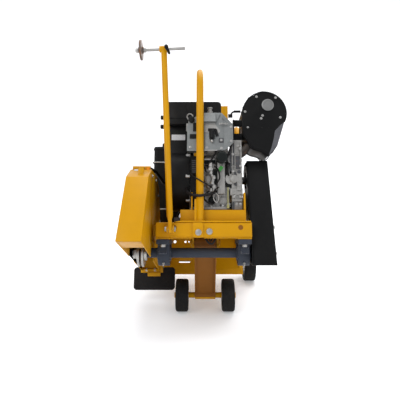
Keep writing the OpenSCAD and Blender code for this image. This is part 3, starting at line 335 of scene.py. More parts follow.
EDGE_WIDTH = 0.9  # millimetres, where WIDTHS says nothing else
WIDTHS = {
    "bearing_housings": 3.0, "crankcase": 2.5, "side_cover": 1.8, "air_cleaner": 2.5, "fuel_tank": 2.0,
    "battery": 2.0, "belt_cover": 2.0, "blade_guard": 1.2, "guard_nose": 1.2, "cooling_shroud": 1.2,
    "console": 1.2, "engine_base": 2.0, "muffler": 1.6, "front_beam": 1.0, "cylinders": 0.6,
    "drive_belts": 0, "cables": 0, "exhaust_pipes": 0.5, "bearing_inserts": 0.5,
}
FINISH_OF = {
    "bearing_housings": "slate", "blade_shaft": "slate", "bearing_inserts": "slate",
    "heat_shield": "shield_steel", "inner_flange": "bright_steel", "outer_flange": "bright_steel",
    "arbor_nut": "bright_steel",
}


def on_arm_plate(p):
    """The arm's plate and cheeks, not its cross axle: the faces that get the painted shade."""
    q = ARM.inverted() @ CHASSIS @ p
    return q.y < ARM_LENGTH - 4 and abs(q.x) < 45


def under_deck(p):
    """The heads and pins behind the front beam and near the middle, which are painted over."""
    return p.y > -560 and p.z < 110 and abs(p.x) < 70


def hub_of(y, z, r):
    return lambda p: math.hypot(p.y - y, p.z - z) < r


FRONT_AXLE = FROM_ROW @ ARM @ Vector((0, ARM_LENGTH, 0))
FRONT_HUB = hub_of(FRONT_AXLE.y, FRONT_AXLE.z, 40)
REAR_HUB = hub_of(0, 0, 62)
SECOND = {
    # The arm's plate and cheeks wear the yellow enamel darkened to brown: painted shade.
    "swing_arm": ("yellow_in_painted_shade", on_arm_plate, False),
    "front_wheel_left": ("dark_steel", FRONT_HUB, True),
    "front_wheel_right": ("dark_steel", FRONT_HUB, True),
    "rear_wheel_left": ("zinc_steel", REAR_HUB, True),
    "rear_wheel_right": ("zinc_steel", REAR_HUB, True),
    "bolts_and_pins": ("yellow_paint", under_deck, False),
}
for name in sorted(frame["nodes"]):
    second, inside, whole = SECOND.get(name, (None, None, False))
    refine(name, FINISH_OF.get(name), WIDTHS.get(name, EDGE_WIDTH), second, inside, whole)


# ---------- detail pieces ----------

FRONT, BACK, LEFT, RIGHT, UP = (0, -1, 0), (0, 1, 0), (-1, 0, 0), (1, 0, 0), (0, 0, 1)


def round_points(count, radius):
    """Evenly spaced (across, up) pairs round a circle."""
    angles = [2 * math.pi * k / count for k in range(count)]
    return [(radius * math.cos(a), radius * math.sin(a)) for a in angles]


class Maker:
    """Collects simple solids, in the units of a place, into one detail piece."""

    def __init__(self):
        self.bm = bmesh.new()

    def ring(self, centre, across, up, radius, sides):
        return [self.bm.verts.new(centre + a * across + b * up) for a, b in round_points(sides, radius)]

    def bridge(self, low, high):
        for k in range(len(low)):
            n = (k + 1) % len(low)
            self.bm.faces.new((low[k], low[n], high[n], high[k]))

    def close(self, first, last):
        """Puts an end face on the first ring and on the last."""
        self.bm.faces.new(first[::-1])
        self.bm.faces.new(last)

    def lathe(self, at, axis, profile, sides=28):
        """A turned solid: profile is (radius, distance along axis) from end to end."""
        at = Vector(at)
        axis = Vector(axis).normalized()
        across = axis.orthogonal().normalized()
        up = axis.cross(across)
        rings = [self.ring(at + axis * d, across, up, max(r, 0.01), sides) for r, d in profile]
        for low, high in zip(rings, rings[1:]):
            self.bridge(low, high)
        self.close(rings[0], rings[-1])

    def bolt(self, at, axis, across=13, washer=True):
        """A hexagon head on its washer, standing off a surface along axis."""
        r = across / math.sqrt(3)
        if washer:
            self.lathe(at, axis, [(across * 0.82, 0), (across * 0.82, 1.4), (across * 0.6, 1.7)], 20)
        self.lathe(at, axis, [(r, 1.2), (r, across * 0.5), (r * 0.8, across * 0.58)], 6)

    def bolts(self, places, axis, across=13, washer=True):
        for at in places:
            self.bolt(at, axis, across, washer)

    def box(self, low, high, tilt=None):
        """A box between two corners, tilted about its middle."""
        corners = [
            Vector((x, y, z)) for x in (low[0], high[0]) for y in (low[1], high[1]) for z in (low[2], high[2])
        ]
        if tilt:
            middle = (Vector(low) + Vector(high)) / 2
            corners = [middle + tilt.to_3x3() @ (c - middle) for c in corners]
        v = [self.bm.verts.new(c) for c in corners]
        for f in ((0, 1, 3, 2), (4, 6, 7, 5), (0, 4, 5, 1), (2, 3, 7, 6), (0, 2, 6, 4), (1, 5, 7, 3)):
            self.bm.faces.new([v[k] for k in f])

    def tube(self, points, radius, sides=10, closed=False, steps=4):
        """A round rod or hose along a smooth curve through points."""
        line = smooth_line([Vector(p) for p in points], closed, steps)
        rings = []
        across = None
        for i, p in enumerate(line):
            ahead = line[(i + 1) % len(line)] if closed or i + 1 < len(line) else p
            behind = line[i - 1] if closed or i > 0 else p
            along = (ahead - behind).normalized()
            across = along.orthogonal() if across is None else across - along * across.dot(along)
            across = across.normalized()
            rings.append(self.ring(p, across, along.cross(across), radius, sides))
        for low, high in zip(rings, rings[1:]):
            self.bridge(low, high)
        if closed:
            self.bridge(rings[-1], rings[0])
        else:
            self.close(rings[0], rings[-1])

    def loop(self, points, radius, sides=8, steps=1):
        self.tube(points, radius, sides, closed=True, steps=steps)

    def slab(self, outline, low, high, axis="Y"):
        """An outline made solid between two distances along the Y or the X axis."""
        ends = []
        for d in (low, high):
            corners = [(d, a, b) if axis == "X" else (a, d, b) for a, b in outline]
            ends.append([self.bm.verts.new(c) for c in corners])
        self.bridge(*ends)
        self.close(*ends)

    def done(self, name, finish, place=CHASSIS, width=0.5, body="chassis"):
        """Rounds the edges by width and puts the piece into the scene at place."""
        soften(self.bm, width, 40)
        bmesh.ops.transform(self.bm, matrix=place, verts=self.bm.verts)
        return into_scene(self.bm, name, body, finish)


def smooth_line(points, closed, steps):
    """A curve through points, with steps pieces between each two."""
    n = len(points)
    line = []
    for i in range(n if closed else n - 1):
        a = points[i]
        b = points[(i + 1) % n]
        before = points[i - 1] if closed or i > 0 else a
        after = points[(i + 2) % n] if closed or i + 2 < n else b
        for k in range(steps):
            t = k / steps
            line.append(0.5 * (
                2 * a + (b - before) * t + (2 * before - 5 * a + 4 * b - after) * t * t
                + (3 * a - before - 3 * b + after) * t ** 3
            ))
    if not closed:
        line.append(points[-1])
    return line


def muffler_details():
    """Seams, lower panel, screened outlet, bolts and ribs of the muffler, about its own axis."""
    front = MUFFLER_Y
    back = MUFFLER_Y + MUFFLER_D
    shell_r = 87
    flats = [
        (-19, 84.9), (-62, 61), (-86.5, 14), (-88, -21), (-87, -90), (-68, -121), (-64, -136),
        (-47, -150), (-17, -158), (7, -176), (44, -135), (72, -44),
    ]
    angles = [math.radians(d) for d in range(-26, 100, 14)]
    arc = [(shell_r * math.cos(a), shell_r * math.sin(a)) for a in angles]
    seam = Maker()
    for y in (front + 0.5, back - 0.5):
        seam.loop([(x, y, z) for x, z in flats + arc], 2.2, steps=2)
    seam.done("muffler_seams", "black_sheet", MUFFLER, 0)
    panel = Maker()
    lower_panel = [
        (-86, -62), (38, -62), (33, -104), (22, -144), (8, -171),
        (-16, -155), (-46, -147), (-66, -119), (-85, -90),
    ]
    panel.slab(lower_panel, front - 3, front + 1)
    panel.done("muffler_lower_panel", "black_sheet", MUFFLER, 1.5)
    outlet_x, outlet_z, screen_r, wire_gap = 13, 30, 20.2, 3
    ring = Maker()
    profile = [(23.8, -2), (23.8, 0.8), (20.6, 1.6), (screen_r, 0), (screen_r, -4)]
    ring.lathe((outlet_x, front - 7, outlet_z), FRONT, profile, 40)
    ring.done("muffler_outlet_ring", "mesh_steel", MUFFLER, 0)
    screen = Maker()
    for k in range(-6, 7):
        x, z = outlet_x + wire_gap * k, outlet_z + wire_gap * k
        reach = math.sqrt(screen_r ** 2 - (wire_gap * k) ** 2)
        across = [(outlet_x + side * reach, front - 5, z) for side in (-1, 1)]
        upright = [(x, front - 3.6, outlet_z + side * reach) for side in (-1, 1)]
        screen.tube(across, 0.9, 6, steps=1)
        screen.tube(upright, 0.9, 6, steps=1)
    screen.done("muffler_spark_screen", "mesh_steel", MUFFLER, 0)
    bolts = Maker()
    places = ((-77, 4), (-68, -62), (-8, -12), (62, -20), (46, 62), (-30, 66), (-14, -24))
    bolts.bolts([(x, front, z) for x, z in places], FRONT, 6)
    bolts.done("muffler_bolts", "zinc_steel", MUFFLER, 0.3)
    ribs = Maker()
    for y in (front + 30, front + 96):
        ribs.tube([(x, y, z) for x, z in flats[:3] + arc[::-1]], 1.6, 6, steps=2)
    ribs.done("muffler_ribs", "black_sheet", MUFFLER, 0)


def shroud_details():
    """Blank label, blank emblem, choke, facets, ports and bolts on the cooling shroud's front, and lighter
    strips along its bends as painted highlights.
    """
    plate = Maker()
    plate.box((-125, -562, 478), (-72, -559.6, 500))
    plate.done("blank_label_plate", "pale_plate", width=0.3)
    emblem = Maker()
    emblem.box((56, -6.5, -46), (73, -3.5, -29))
    emblem.done("blank_emblem", "dark_steel", SHROUD_FACE, 1)
    face = Maker()
    face.box((60, -8, -42), (69, -6, -33))
    face.done("blank_emblem_face", "zinc_steel", SHROUD_FACE, 1)
    top = Maker()
    top.box((1, -16, 30), (44, -4, 69), turn(-13, "X"))
    top.slab([(44, 30), (64, 69), (44, 69)], -8, -3)
    top.done("shroud_top_facet", "bare_shroud", SHROUD_FACE, 2)
    # Lighter metal strips along the bends of the top facet: painted highlights.
    creases = Maker()
    creases.box((44, -7.5, 28), (46.5, -4, 52), turn(28, "Y"))
    creases.box((1, -9, 27), (44, -4, 30))
    creases.done("shroud_crease_painted_highlights", "zinc_steel", SHROUD_FACE, 0.8)
    hollow = Maker()
    hollow.slab([(2, 26), (42, 26), (62, -2), (52, -14), (2, -6)], -6.2, -3.8)
    hollow.done("shroud_hollow", "cast_aluminium", SHROUD_FACE, 1.2)
    choke_x, choke_y = 30, -13
    choke = Maker()
    choke.lathe((choke_x, choke_y, -30), UP, [(5, -10), (5, -4), (10, -3), (10, 26), (8, 29), (5, 30)], 24)
    choke.box((16, -9, -2), (46, -3, 8))
    choke.box((42, -12, -22), (52, -4, 4), turn(-14, "Y"))
    choke.done("choke_solenoid", "black_plastic", SHROUD_FACE, 1)
    tip = Maker()
    tip.lathe((choke_x, choke_y, -48), UP, [(3, 0), (5, 3), (5, 8), (3, 10)], 16)
    tip.done("choke_tip", "zinc_steel", SHROUD_FACE, 0)
    # A strip of lighter metal along the bottom fold: painted highlight.
    fold = Maker()
    fold.box((2, -6, -78), (50, -3.5, -74.5))
    fold.done("shroud_fold_painted_highlight", "zinc_steel", SHROUD_FACE, 1)
    side = Maker()
    side.slab([(74, -62), (100, -38), (100, 22), (82, 42), (74, 40)], -5.4, -3.6)
    side.slab([(70, 50), (98, 22), (102, 25), (72, 60)], -6, -3.6)
    side.done("shroud_side_facet", "bare_shroud", SHROUD_FACE, 1.2)
    left = Maker()
    left.slab([(-62, -76), (4, -78), (4, 60), (-30, 60), (-52, 44), (-62, 20)], 2, 26)
    left.done("shroud_left_wing", "bare_shroud", SHROUD_FACE, 2)
    ports = Maker()
    ports.box((-40, 0, 0), (4, 4, 34))
    ports.box((-52, -3, -28), (-8, 2, -12))
    ports.lathe((-46, 0, 46), FRONT, [(12, 0), (12, 6), (7, 8)], 20)
    ports.done("shroud_dark_ports", "black_plastic", SHROUD_FACE, 1.5)
    bolts = Maker()
    bolts.bolts([(12, -4, -66), (102, -4, -40), (102, -4, 16), (66, -4, -68), (-50, 2, -62)], FRONT, 6)
    bolts.done("shroud_bolts", "zinc_steel", SHROUD_FACE, 0.3)


def linkage_details():
    """Throttle bracket, governor rod, spring and breather, and the loom cover below them."""
    link_x, link_y = -52, -618
    linkage = Maker()
    linkage.loop([(link_x + across, link_y, 556 + up) for across, up in round_points(16, 11)], 2.6)
    linkage.box((-58, -619, 530), (-47, -614, 546))
    linkage.box((-66, -618, 500), (-34, -608, 530))
    linkage.bolt((-44, link_y, 522), FRONT, 8)
    linkage.tube([(link_x, link_y, 545), (link_x, link_y, 532)], 3, 8, steps=1)
    breather = [(10, 0), (10, 12), (8, 14), (8, 20), (10, 22), (10, 26), (4, 28)]
    linkage.lathe((24, -616, 566), UP, breather, 24)
    linkage.box((4, -612, 566), (56, -596, 572))
    linkage.done("governor_linkage", "cast_aluminium", width=0.6)
    coil_r, coil_step, coil_turn = 3, 0.9, 1.6
    coil = [
        (56 + k * coil_step, -646 + coil_r * math.cos(k * coil_turn), 520 + coil_r * math.sin(k * coil_turn))
        for k in range(40)
    ]
    spring = Maker()
    spring.tube(coil, 0.9, 6, steps=2)
    spring.done("governor_spring", "zinc_steel", width=0)
    cover = Maker()
    cover.slab([(-50, 214), (-18, 214), (-16, 330), (-22, 404), (-50, 410)], -604, -597)
    cover.box((-46, -616, 336), (-18, -600, 392))
    cover.box((-44, -612, 240), (-22, -600, 300))
    cover.done("loom_cover", "black_plastic", width=2.5)
    fins = Maker()
    for z in range(342, 390, 7):
        fins.box((-44, -621, z), (-20, -612, z + 3))
    fins.done("regulator_fins", "dark_steel", width=0.5)


def fuel_details():
    """Fuel pump, filter, fittings, hoses, connector and dipstick in front of the crankcase."""
    pump_x, pump_z, screw_circle = 16, 316, 19.5
    pump = Maker()
    body = [(21, 0), (21, 8), (24, 9), (24, 13), (19, 15), (14, 24), (6, 27)]
    pump.lathe((pump_x, -600, pump_z), FRONT, body, 32)
    pump.lathe((pump_x, -600, 352), FRONT, [(9, 0), (9, 14), (6, 16), (6, 22)], 20)
    pump.lathe((18, -612, 290), UP, [(7, -8), (10, 0), (10, 14), (7, 16), (7, 22)], 20)
    pump.lathe((18, -614, 262), UP, [(9, 0), (11, 4), (11, 16), (6, 19)], 20)
    pump.lathe((38, -604, 366), FRONT, [(10, 0), (10, 10), (7, 12)], 20)
    screws = [(pump_x + across, -612, pump_z + up) for across, up in round_points(6, screw_circle)]
    pump.bolts(screws, FRONT, 5, washer=False)
    pump.done("fuel_pump", "cast_aluminium", width=0.6)
    fittings = Maker()
    nut_r = 9
    for x, y, z, r in (
        (24, -640, 366, 7), (24, -640, 352, nut_r), (26, -640, 338, 6), (36, -632, 322, 8),
        (30, -634, 302, 6), (38, -630, 288, nut_r), (26, -626, 276, 6),
    ):
        profile = [(r * 0.6, -6), (r, -5), (r, 3), (r * 0.7, 4), (r * 0.7, 7)]
        fittings.lathe((x, y, z), (0.15, -0.2, 1), profile, 6 if r == nut_r else 16)
    pipe = [(28, -640, 374), (26, -638, 344), (32, -634, 318), (36, -630, 284), (30, -622, 262)]
    fittings.tube(pipe, 3.2, 8)
    fittings.box((2, -624, 388), (40, -618, 393))
    fittings.box((92, -606, 330), (97, -598, 410))
    wire = [
        (38, -628, 268), (50, -630, 258), (54, -626, 240), (46, -622, 232), (36, -624, 244), (38, -628, 262),
    ]
    fittings.tube(wire, 2.0, 6)
    fittings.done("fuel_fittings", "zinc_steel", width=0.4)
    hoses = Maker()
    for radius, points in (
        (3.2, (
            (18, -628, 272), (10, -640, 262), (0, -640, 246),
            (12, -636, 232), (30, -626, 226), (38, -612, 232),
        )),
        (3.5, ((16, -626, 352), (20, -636, 372), (32, -640, 392), (44, -636, 414), (46, -622, 430))),
        (3.0, ((40, -616, 366), (52, -632, 350), (58, -634, 322), (48, -630, 300), (40, -618, 292))),
        (3.4, ((94, -606, 380), (88, -618, 372), (88, -622, 350), (92, -616, 330))),
        (2.6, ((6, -612, 404), (-6, -622, 388), (2, -628, 362), (10, -624, 340))),
        (2.4, ((22, -606, 240), (32, -616, 262), (44, -628, 280), (56, -634, 286))),
    ):
        hoses.tube(points, radius, 8)
    hoses.done("engine_hoses", "black_rubber", width=0)
    brackets = Maker()
    brackets.box((36, -612, 300), (50, -598, 352))
    brackets.box((2, -606, 376), (44, -597, 408))
    brackets.box((86, -606, 292), (100, -597, 380))
    brackets.lathe((30, -606, 240), FRONT, [(14, -8), (14, 4), (10, 6)], 24)
    brackets.done("engine_brackets", "black_painted", width=1)
    plug = Maker()
    plug.box((56, -632, 346), (68, -621, 364), turn(35, "Y"))
    plug.done("green_connector", "green_plastic", width=1)
    dip_x, dip_y = 88, -621
    dip = Maker()
    dip.tube([(dip_x, dip_y, 218), (dip_x, dip_y - 1, 262), (dip_x + 1, dip_y + 3, 286)], 1.9, 8)
    dip.lathe((dip_x, dip_y, 214), UP, [(5, -4), (5, 8), (3, 10)], 16)
    dip.done("dipstick", "dip_yellow", width=0)


def column_details():
    """Ribs, hollows drawn as dark blocks of painted shade, and bolts on the cast column of the output side,
    and the hoses beside it.
    """
    face = -611
    column = Maker()
    for x in (107, 116, 138):
        column.box((x - 1.4, face - 8.5, 352), (x + 1.4, face, 462))
    column.box((104, face - 11, 236), (140, face - 1, 243))
    column.box((104, face - 9, 262), (142, face - 1, 270))
    column.slab([(122, 276), (138, 276), (138, 340), (130, 352), (122, 340)], face - 10, face)
    column.lathe((122, face - 1, 252), FRONT, [(11, 0), (11, 7), (6.5, 8), (6.5, 3)], 24)
    column.lathe((112, face - 5, 318), FRONT, [(16, 0), (15, 4), (10, 7), (4, 8)], 32)
    column.done("column_ribs", "cast_aluminium", width=0.8)
    # The hollows are dark blocks on the column's face: painted shade in its recesses.
    hollows = Maker()
    hollows.box((119, face - 5, 356), (134, face, 404))
    hollows.box((109, face - 5, 372), (114, face, 452))
    hollows.box((98, face - 3, 348), (103, face + 7, 462))
    hollows.slab([(112, 296), (120, 292), (120, 344), (112, 344)], face - 5, face)
    hollows.box((104, face - 2, 206), (112, face, 234))
    hollows.lathe((130, face - 9, 344), FRONT, [(7, 0), (7, 2), (4, 2.4)], 16)
    hollows.done("column_hollows_painted_shade", "dark_steel", width=0.8)
    upper = ((108, 410), (136, 432), (136, 366), (108, 346))
    lower = ((134, 252), (110, 252), (130, 296), (120, 226), (134, 226))
    heads = Maker()
    heads.bolts([(x, face - 8, z) for x, z in upper], FRONT, 6)
    heads.bolts([(x, face - 10, z) for x, z in lower], FRONT, 6)
    heads.done("column_bolts", "zinc_steel", width=0.3)
    lever = Maker()
    lever.tube([(100, -636, 556), (108, -642, 566), (120, -642, 569), (134, -642, 569)], 3.2, 8)
    lever.box((112, -645, 565), (138, -639, 573))
    lever.box((92, -640, 548), (108, -630, 560))
    lever.done("choke_lever", "black_plastic", width=1)
    drain = Maker()
    outer = [(6, -640, 112), (8, -646, 100), (18, -650, 88), (30, -650, 86), (38, -646, 98), (40, -640, 112)]
    drain.tube(outer, 3.6, 10)
    drain.tube([(12, -640, 112), (20, -646, 98), (26, -646, 94), (30, -640, 112)], 2.4, 8)
    drain.done("drain_hose", "black_rubber", width=0)


def crankcase_details():
    """Casting edge, ribs and bolts of the crankcase, rocker cover bolts and plug leads."""
    face = -596
    ribs = Maker()
    ribs.box((14, -624, 419), (50, -619, 424))
    ribs.box((-16, face - 4, 300), (48, face, 306))
    for x in (-10, 8, 28, 48, 70, 90):
        ribs.box((x - 2, face - 4, 218), (x + 2, face, 262))
    ribs.lathe((70, face, 238), FRONT, [(15, 0), (15, 5), (11, 7)], 28)
    ribs.done("crankcase_ribs", "cast_aluminium", width=0.8)
    studs = Maker()
    case_heads = ((0, 282), (92, 284), (-12, 226), (92, 226), (40, 270), (66, 274))
    studs.bolts([(x, face - 1, z) for x, z in case_heads], FRONT, 8)
    studs.bolt((66, -621, 402), FRONT, 8)
    studs.bolts([(x, -606, 217) for x in (-20, 26, 70, 92)], UP, 9)
    studs.done("crankcase_bolts", "zinc_steel", width=0.4)
    bank_angle, cover_top = 45, 172
    covers = Maker()
    for sign in (1, -1):
        place = spot(48, CRANK_Y, CRANK_Z) @ turn(bank_angle * sign, "X")
        outward = place.to_3x3() @ Vector(UP)
        heads = [place @ Vector((x, y, cover_top)) for x in (-34, 34) for y in (-26, 26)]
        covers.bolts(heads, outward, 8)
        covers.lathe(place @ Vector((0, 0, cover_top - 1)), outward, [(16, 0), (16, 4), (12, 6)], 28)
    covers.done("rocker_cover_bolts", "zinc_steel", width=0.4)
    leads = Maker()
    leads.tube([(108, -626, 452), (98, -630, 430), (92, -628, 410), (88, -618, 396)], 3.4, 8)
    leads.tube([(60, -360, 470), (92, -352, 452), (104, -356, 420), (92, -366, 400)], 3.4, 8)
    leads.done("spark_plug_leads", "black_rubber", width=0)


def air_cleaner_details():
    left, right, front, back, seam_z = -146.6, 68.4, -591, -400, 560
    seam = Maker()
    corners = [(left, front, seam_z), (left, back, seam_z), (right, back, seam_z), (right, front, seam_z)]
    seam.loop(corners, 2.2)
    seam.tube([(-72, -590.5, 622), (-66, -590.8, 596), (-56, -590.8, 574)], 1.2, 6)
    seam.done("air_cleaner_seam", "black_plastic", width=0)
    clips = Maker()
    for y in (-560, -430):
        for x in (68, -150):
            clips.box((x, y - 9, 548), (x + 4, y + 9, 584))
    clips.done("air_cleaner_clips", "zinc_steel", width=0.6)
    tray = Maker()
    tray.box((-108, -612, 164.4), (-34, -560, 178))
    tray.done("harness_tray", "dark_steel", width=3)


def blower_details():
    """Bolts round the blower housing, as far up as the shroud leaves them in view."""
    bolt_circle, highest = 122, 420
    case = Maker()
    for across, up in round_points(8, bolt_circle):
        if CRANK_Z + up < highest:
            case.lathe((-60, CRANK_Y + across, CRANK_Z + up), LEFT, [(6, -8), (6, 6), (4, 8)], 14)
    case.done("blower_bolts", "zinc_steel", width=0.3)


def ring_bead(maker, x, y, z, ring_r, bead_r):
    """A wavy weld bead laid round an upright post or pin."""
    maker.loop([
        (x + across, y + along, z + 0.5 * math.sin(5 * 2 * math.pi * k / 24))
        for k, (across, along) in enumerate(round_points(24, ring_r))
    ], bead_r)


def beam_details():
    """Front flange, weld beads, plug welds darkened as painted shadow, grease nipples and webs of the beam
    and blocks.
    """
    flange = Maker()
    flange.slab([(-104, 158.9), (164, 158.9), (164, 163.8), (-82, 163.8), (-96, 161.5)], -671, -640)
    flange.done("deck_front_flange", "yellow_paint", width=1.2)
    beads = Maker()
    for start, end, y, z in (
        (-38, -6, BEAM_FRONT - 2, 107.5), (-160, -40, BEAM_FRONT + 1, 105.5), (0, 160, BEAM_FRONT + 1, 105.5),
    ):
        count = max(4, int((end - start) / 4))
        beads.tube([
            (start + (end - start) * k / count, y + 0.7 * math.sin(2.1 * k), z + 0.6 * math.cos(3.7 * k))
            for k in range(count + 1)
        ], 1.7, 8, steps=1)
    ring_bead(beads, -14, -652, 164, 15, 2.2)
    ring_bead(beads, -14, -236, 165.4, 15, 2.2)
    for x in (-4.2, -37.8):
        upright = [(x, BEAM_FRONT - 8, 110 + 4 * k + 0.5 * math.sin(3 * k)) for k in range(12)]
        beads.tube(upright, 1.4, 8, steps=1)
    for side in (-1, 1):
        ring_bead(beads, side * PEDESTAL_X, -120, 168.2, 19, 2.0)
        rail = [(side * 159, y, 153 + 0.5 * math.sin(y)) for y in range(-590, 66, 6)]
        beads.tube(rail, 2.0, 6, steps=1)
    beads.done("weld_beads", "yellow_paint", width=0)
    # Brown discs at the plug welds: painted shadow of the dimples in the beam.
    plugs = Maker()
    for x in (-103, 128):
        plugs.lathe((x, BEAM_FRONT + 0.5, 141), FRONT, [(9, 0), (8, 1.2), (4, 2.0)], 20)
    plugs.done("beam_plug_weld_painted_shadows", "yellow_in_painted_shade", width=0)
    block_x = (-142, 142)
    nipples = Maker()
    nipple = [(4, 0), (4, 5), (2.4, 6), (2.4, 10), (3.2, 11), (1.5, 14)]
    for x in block_x:
        nipples.lathe((x, SHAFT_Y - 30, SHAFT_Z - 33), (0, -0.7, -0.7), nipple, 12)
    nipples.done("grease_nipples", "zinc_steel", width=0)
    webs = Maker()
    for x in block_x:
        for y, lean in ((-62, -18), (62, 18)):
            low = (x - 14, SHAFT_Y + y - 6, SHAFT_Z - 2)
            high = (x + 14, SHAFT_Y + y + 6, SHAFT_Z + 31)
            webs.box(low, high, turn(lean, "X"))
        webs.lathe((x - 24, SHAFT_Y, SHAFT_Z), RIGHT, [(28, 0), (30, 2), (30, 46), (28, 48)], 36)
    webs.done("block_webs", "slate", width=1.5)


def guard_details():
    """Latch plate, bolts, straight seams and orange tab of the blade guard."""
    left, right = -262, -186
    latch = Maker()
    latch.box((-247, -688, 339.4), (-213, -672, 341.6), turn(24, "X"))
    latch.done("guard_latch_plate", "pale_plate", width=0.4, body="guard_nose")
    bolts = Maker()
    for y, z in ((-60, 270), (60, 270), (150, 220), (230, 120), (268, 10)):
        bolts.bolt((left, SHAFT_Y + y, SHAFT_Z + z), LEFT, 8)
        bolts.bolt((right, SHAFT_Y + y, SHAFT_Z + z), RIGHT, 8)
    for x in (-242, -206):
        bolts.bolt((x, SHAFT_Y + 300.2, SHAFT_Z - 78), BACK, 10)
        bolts.bolt((x, SHAFT_Y + 288, SHAFT_Z - 78), FRONT, 10)
    bolts.bolt((right, SHAFT_Y + 40, SHAFT_Z + 78), RIGHT, 12)
    bolts.done("guard_bolts", "zinc_steel", width=0.4)
    seam_r = 300
    angles = [math.radians(d) for d in (75, 57, 8)]
    outline = [(SHAFT_Y + seam_r * math.cos(a), SHAFT_Z + seam_r * math.sin(a)) for a in angles]
    seams = Maker()
    for x in (left - 0.5, right + 0.5):
        seams.tube([(x, y, z) for y, z in outline], 1.6, 6, steps=1)
    seams.done("guard_seams", "yellow_paint", width=0)
    tab = Maker()
    tab.box((-205, -667, 342), (-194, -657, 352))
    tab.done("guard_orange_tab", "orange_tab", width=1.5, body="guard_nose")


def cover_details():
    """Bolts and raised panel of the belt cover, placed from the blade shaft."""
    face = 252
    bolts = Maker()
    places = ((-40, 0), (20, -20), (40, 150), (110, 330), (160, 310), (-20, 90), (96, 190))
    bolts.bolts([(face, SHAFT_Y + y, SHAFT_Z + z) for y, z in places], RIGHT, 10)
    bolts.done("belt_cover_bolts", "zinc_steel", width=0.4)
    corners = ((-52, -24), (80, 328), (142, 328), (164, 306), (34, -24))
    panel = Maker()
    panel.slab([(SHAFT_Y + y, SHAFT_Z + z) for y, z in corners], face - 0.5, face + 2, "X")
    panel.done("belt_cover_panel", "black_sheet", width=1.5)


def wheel_details(name, body, place, radius, width, hub, bolt_ring):
    """Mould lines round the tyre, five nuts and an axle cap on either side."""
    tread = Maker()
    for side in (-1, 1):
        for share, inset in ((0.93, 4.4), (0.76, 4.2)):
            x = side * (width / 2 - inset)
            tread.loop([(x, y, z) for y, z in round_points(36, radius * share)], 2.0, 6)
    for x in (-width / 6, width / 6):
        tread.loop([(x, y, z) for y, z in round_points(48, radius - 0.6)], 1.2, 6)
    tread.done(name + "_mould_lines", "tyre_rubber", place, 0, body)
    nuts = Maker()
    for side in (-1, 1):
        outward = (side, 0, 0)
        nuts.bolts([(side * width * 0.16, y, z) for y, z in round_points(5, bolt_ring)], outward, 7)
        nuts.lathe((side * (width / 2 - 1), 0, 0), outward, [(hub, -1), (hub, 1.5), (hub * 0.8, 2.2)], 28)
    nuts.done(name + "_hub_nuts", "zinc_steel", place, 0.3, body)


def handle_details():
    """Ribbed grips, blank console plates, meters, stop button, depth screw thread and boot."""
    for side, word in ((-1, "left"), (1, "right")):
        grip = Maker()
        for k in range(17):
            rib = [(17.6, 0), (19.4, 1.4), (19.4, 3.2), (17.6, 4.6)]
            grip.lathe((side * PEDESTAL_X, 150 + k * 6.2, 649), BACK, rib, 28)
        grip.done("grip_ribs_" + word, "black_rubber", width=0)
    plates = Maker()
    plates.box((-112, 8, 0.2), (-84, 58, 1.6))
    plates.box((-30, 10, 0.2), (60, 66, 1.4))
    plates.done("console_plates", "pale_plate", CONSOLE_FACE, 0.5)
    meter = Maker()
    meter.lathe((-8, 38, 1), UP, [(20, 0), (20, 5), (17, 7), (16, 5.5)], 36)
    meter.lathe((38, 38, 1), UP, [(14, 0), (14, 6), (12, 8)], 32)
    meter.done("console_meter", "black_plastic", CONSOLE_FACE, 0)
    stop = Maker()
    stop.lathe((38, 38, 8), UP, [(8, 0), (8, 8), (17, 11), (18, 16), (14, 21)], 32)
    stop.done("stop_button", "red_handle", CONSOLE_FACE, 0)
    trim = Maker()
    trim.lathe((-60, 40, 0), UP, [(16, 0), (16, 3), (12, 5), (9, 4.5), (8.4, 0)], 28)
    trim.bolts([(x, y, 0) for x in (-118, 112) for y in (6, 70)], UP, 7)
    trim.done("console_trim", "zinc_steel", CONSOLE_FACE, 0)
    turns, pitch, per_turn = 116, 4.4, 10
    around = round_points(per_turn, 10.1)
    helix = [
        (9 + around[k % per_turn][0], 10 + around[k % per_turn][1], 46 + pitch * k / per_turn)
        for k in range(turns * per_turn)
    ]
    thread = Maker()
    thread.tube(helix, 1.3, 4, steps=1)
    thread.done("depth_screw_thread", "zinc_steel", width=0, body="depth_screw")
    boot = Maker()
    boot.lathe((80, -118, 692), (0, 0.05, 1), [(22, 14), (22, 18), (12, 24), (6, 34)], 24)
    boot.done("throttle_boot", "black_rubber", width=0, body="throttle_lever")


def tank_details():
    """Straps, moulded seam and fuel hose of the tank."""
    straps = Maker()
    for z in (230, 440):
        straps.loop([(-227, -287, z), (-108, -287, z), (-108, -148, z), (-227, -148, z)], 3)
    straps.done("tank_straps", "zinc_steel", width=0)
    seam = Maker()
    seam.loop([(-226, -286, 336), (-109, -286, 336), (-109, -149, 336), (-226, -149, 336)], 2)
    seam.done("tank_seam", "black_plastic", width=0)
    hose = Maker()
    hose.tube([
        (-120, -284, 176), (-118, -304, 178), (-112, -330, 196), (-90, -348, 232),
        (-40, -352, 330), (10, -360, 420), (30, -400, 462),
    ], 4, 10)
    hose.done("fuel_hose", "black_rubber", width=0)


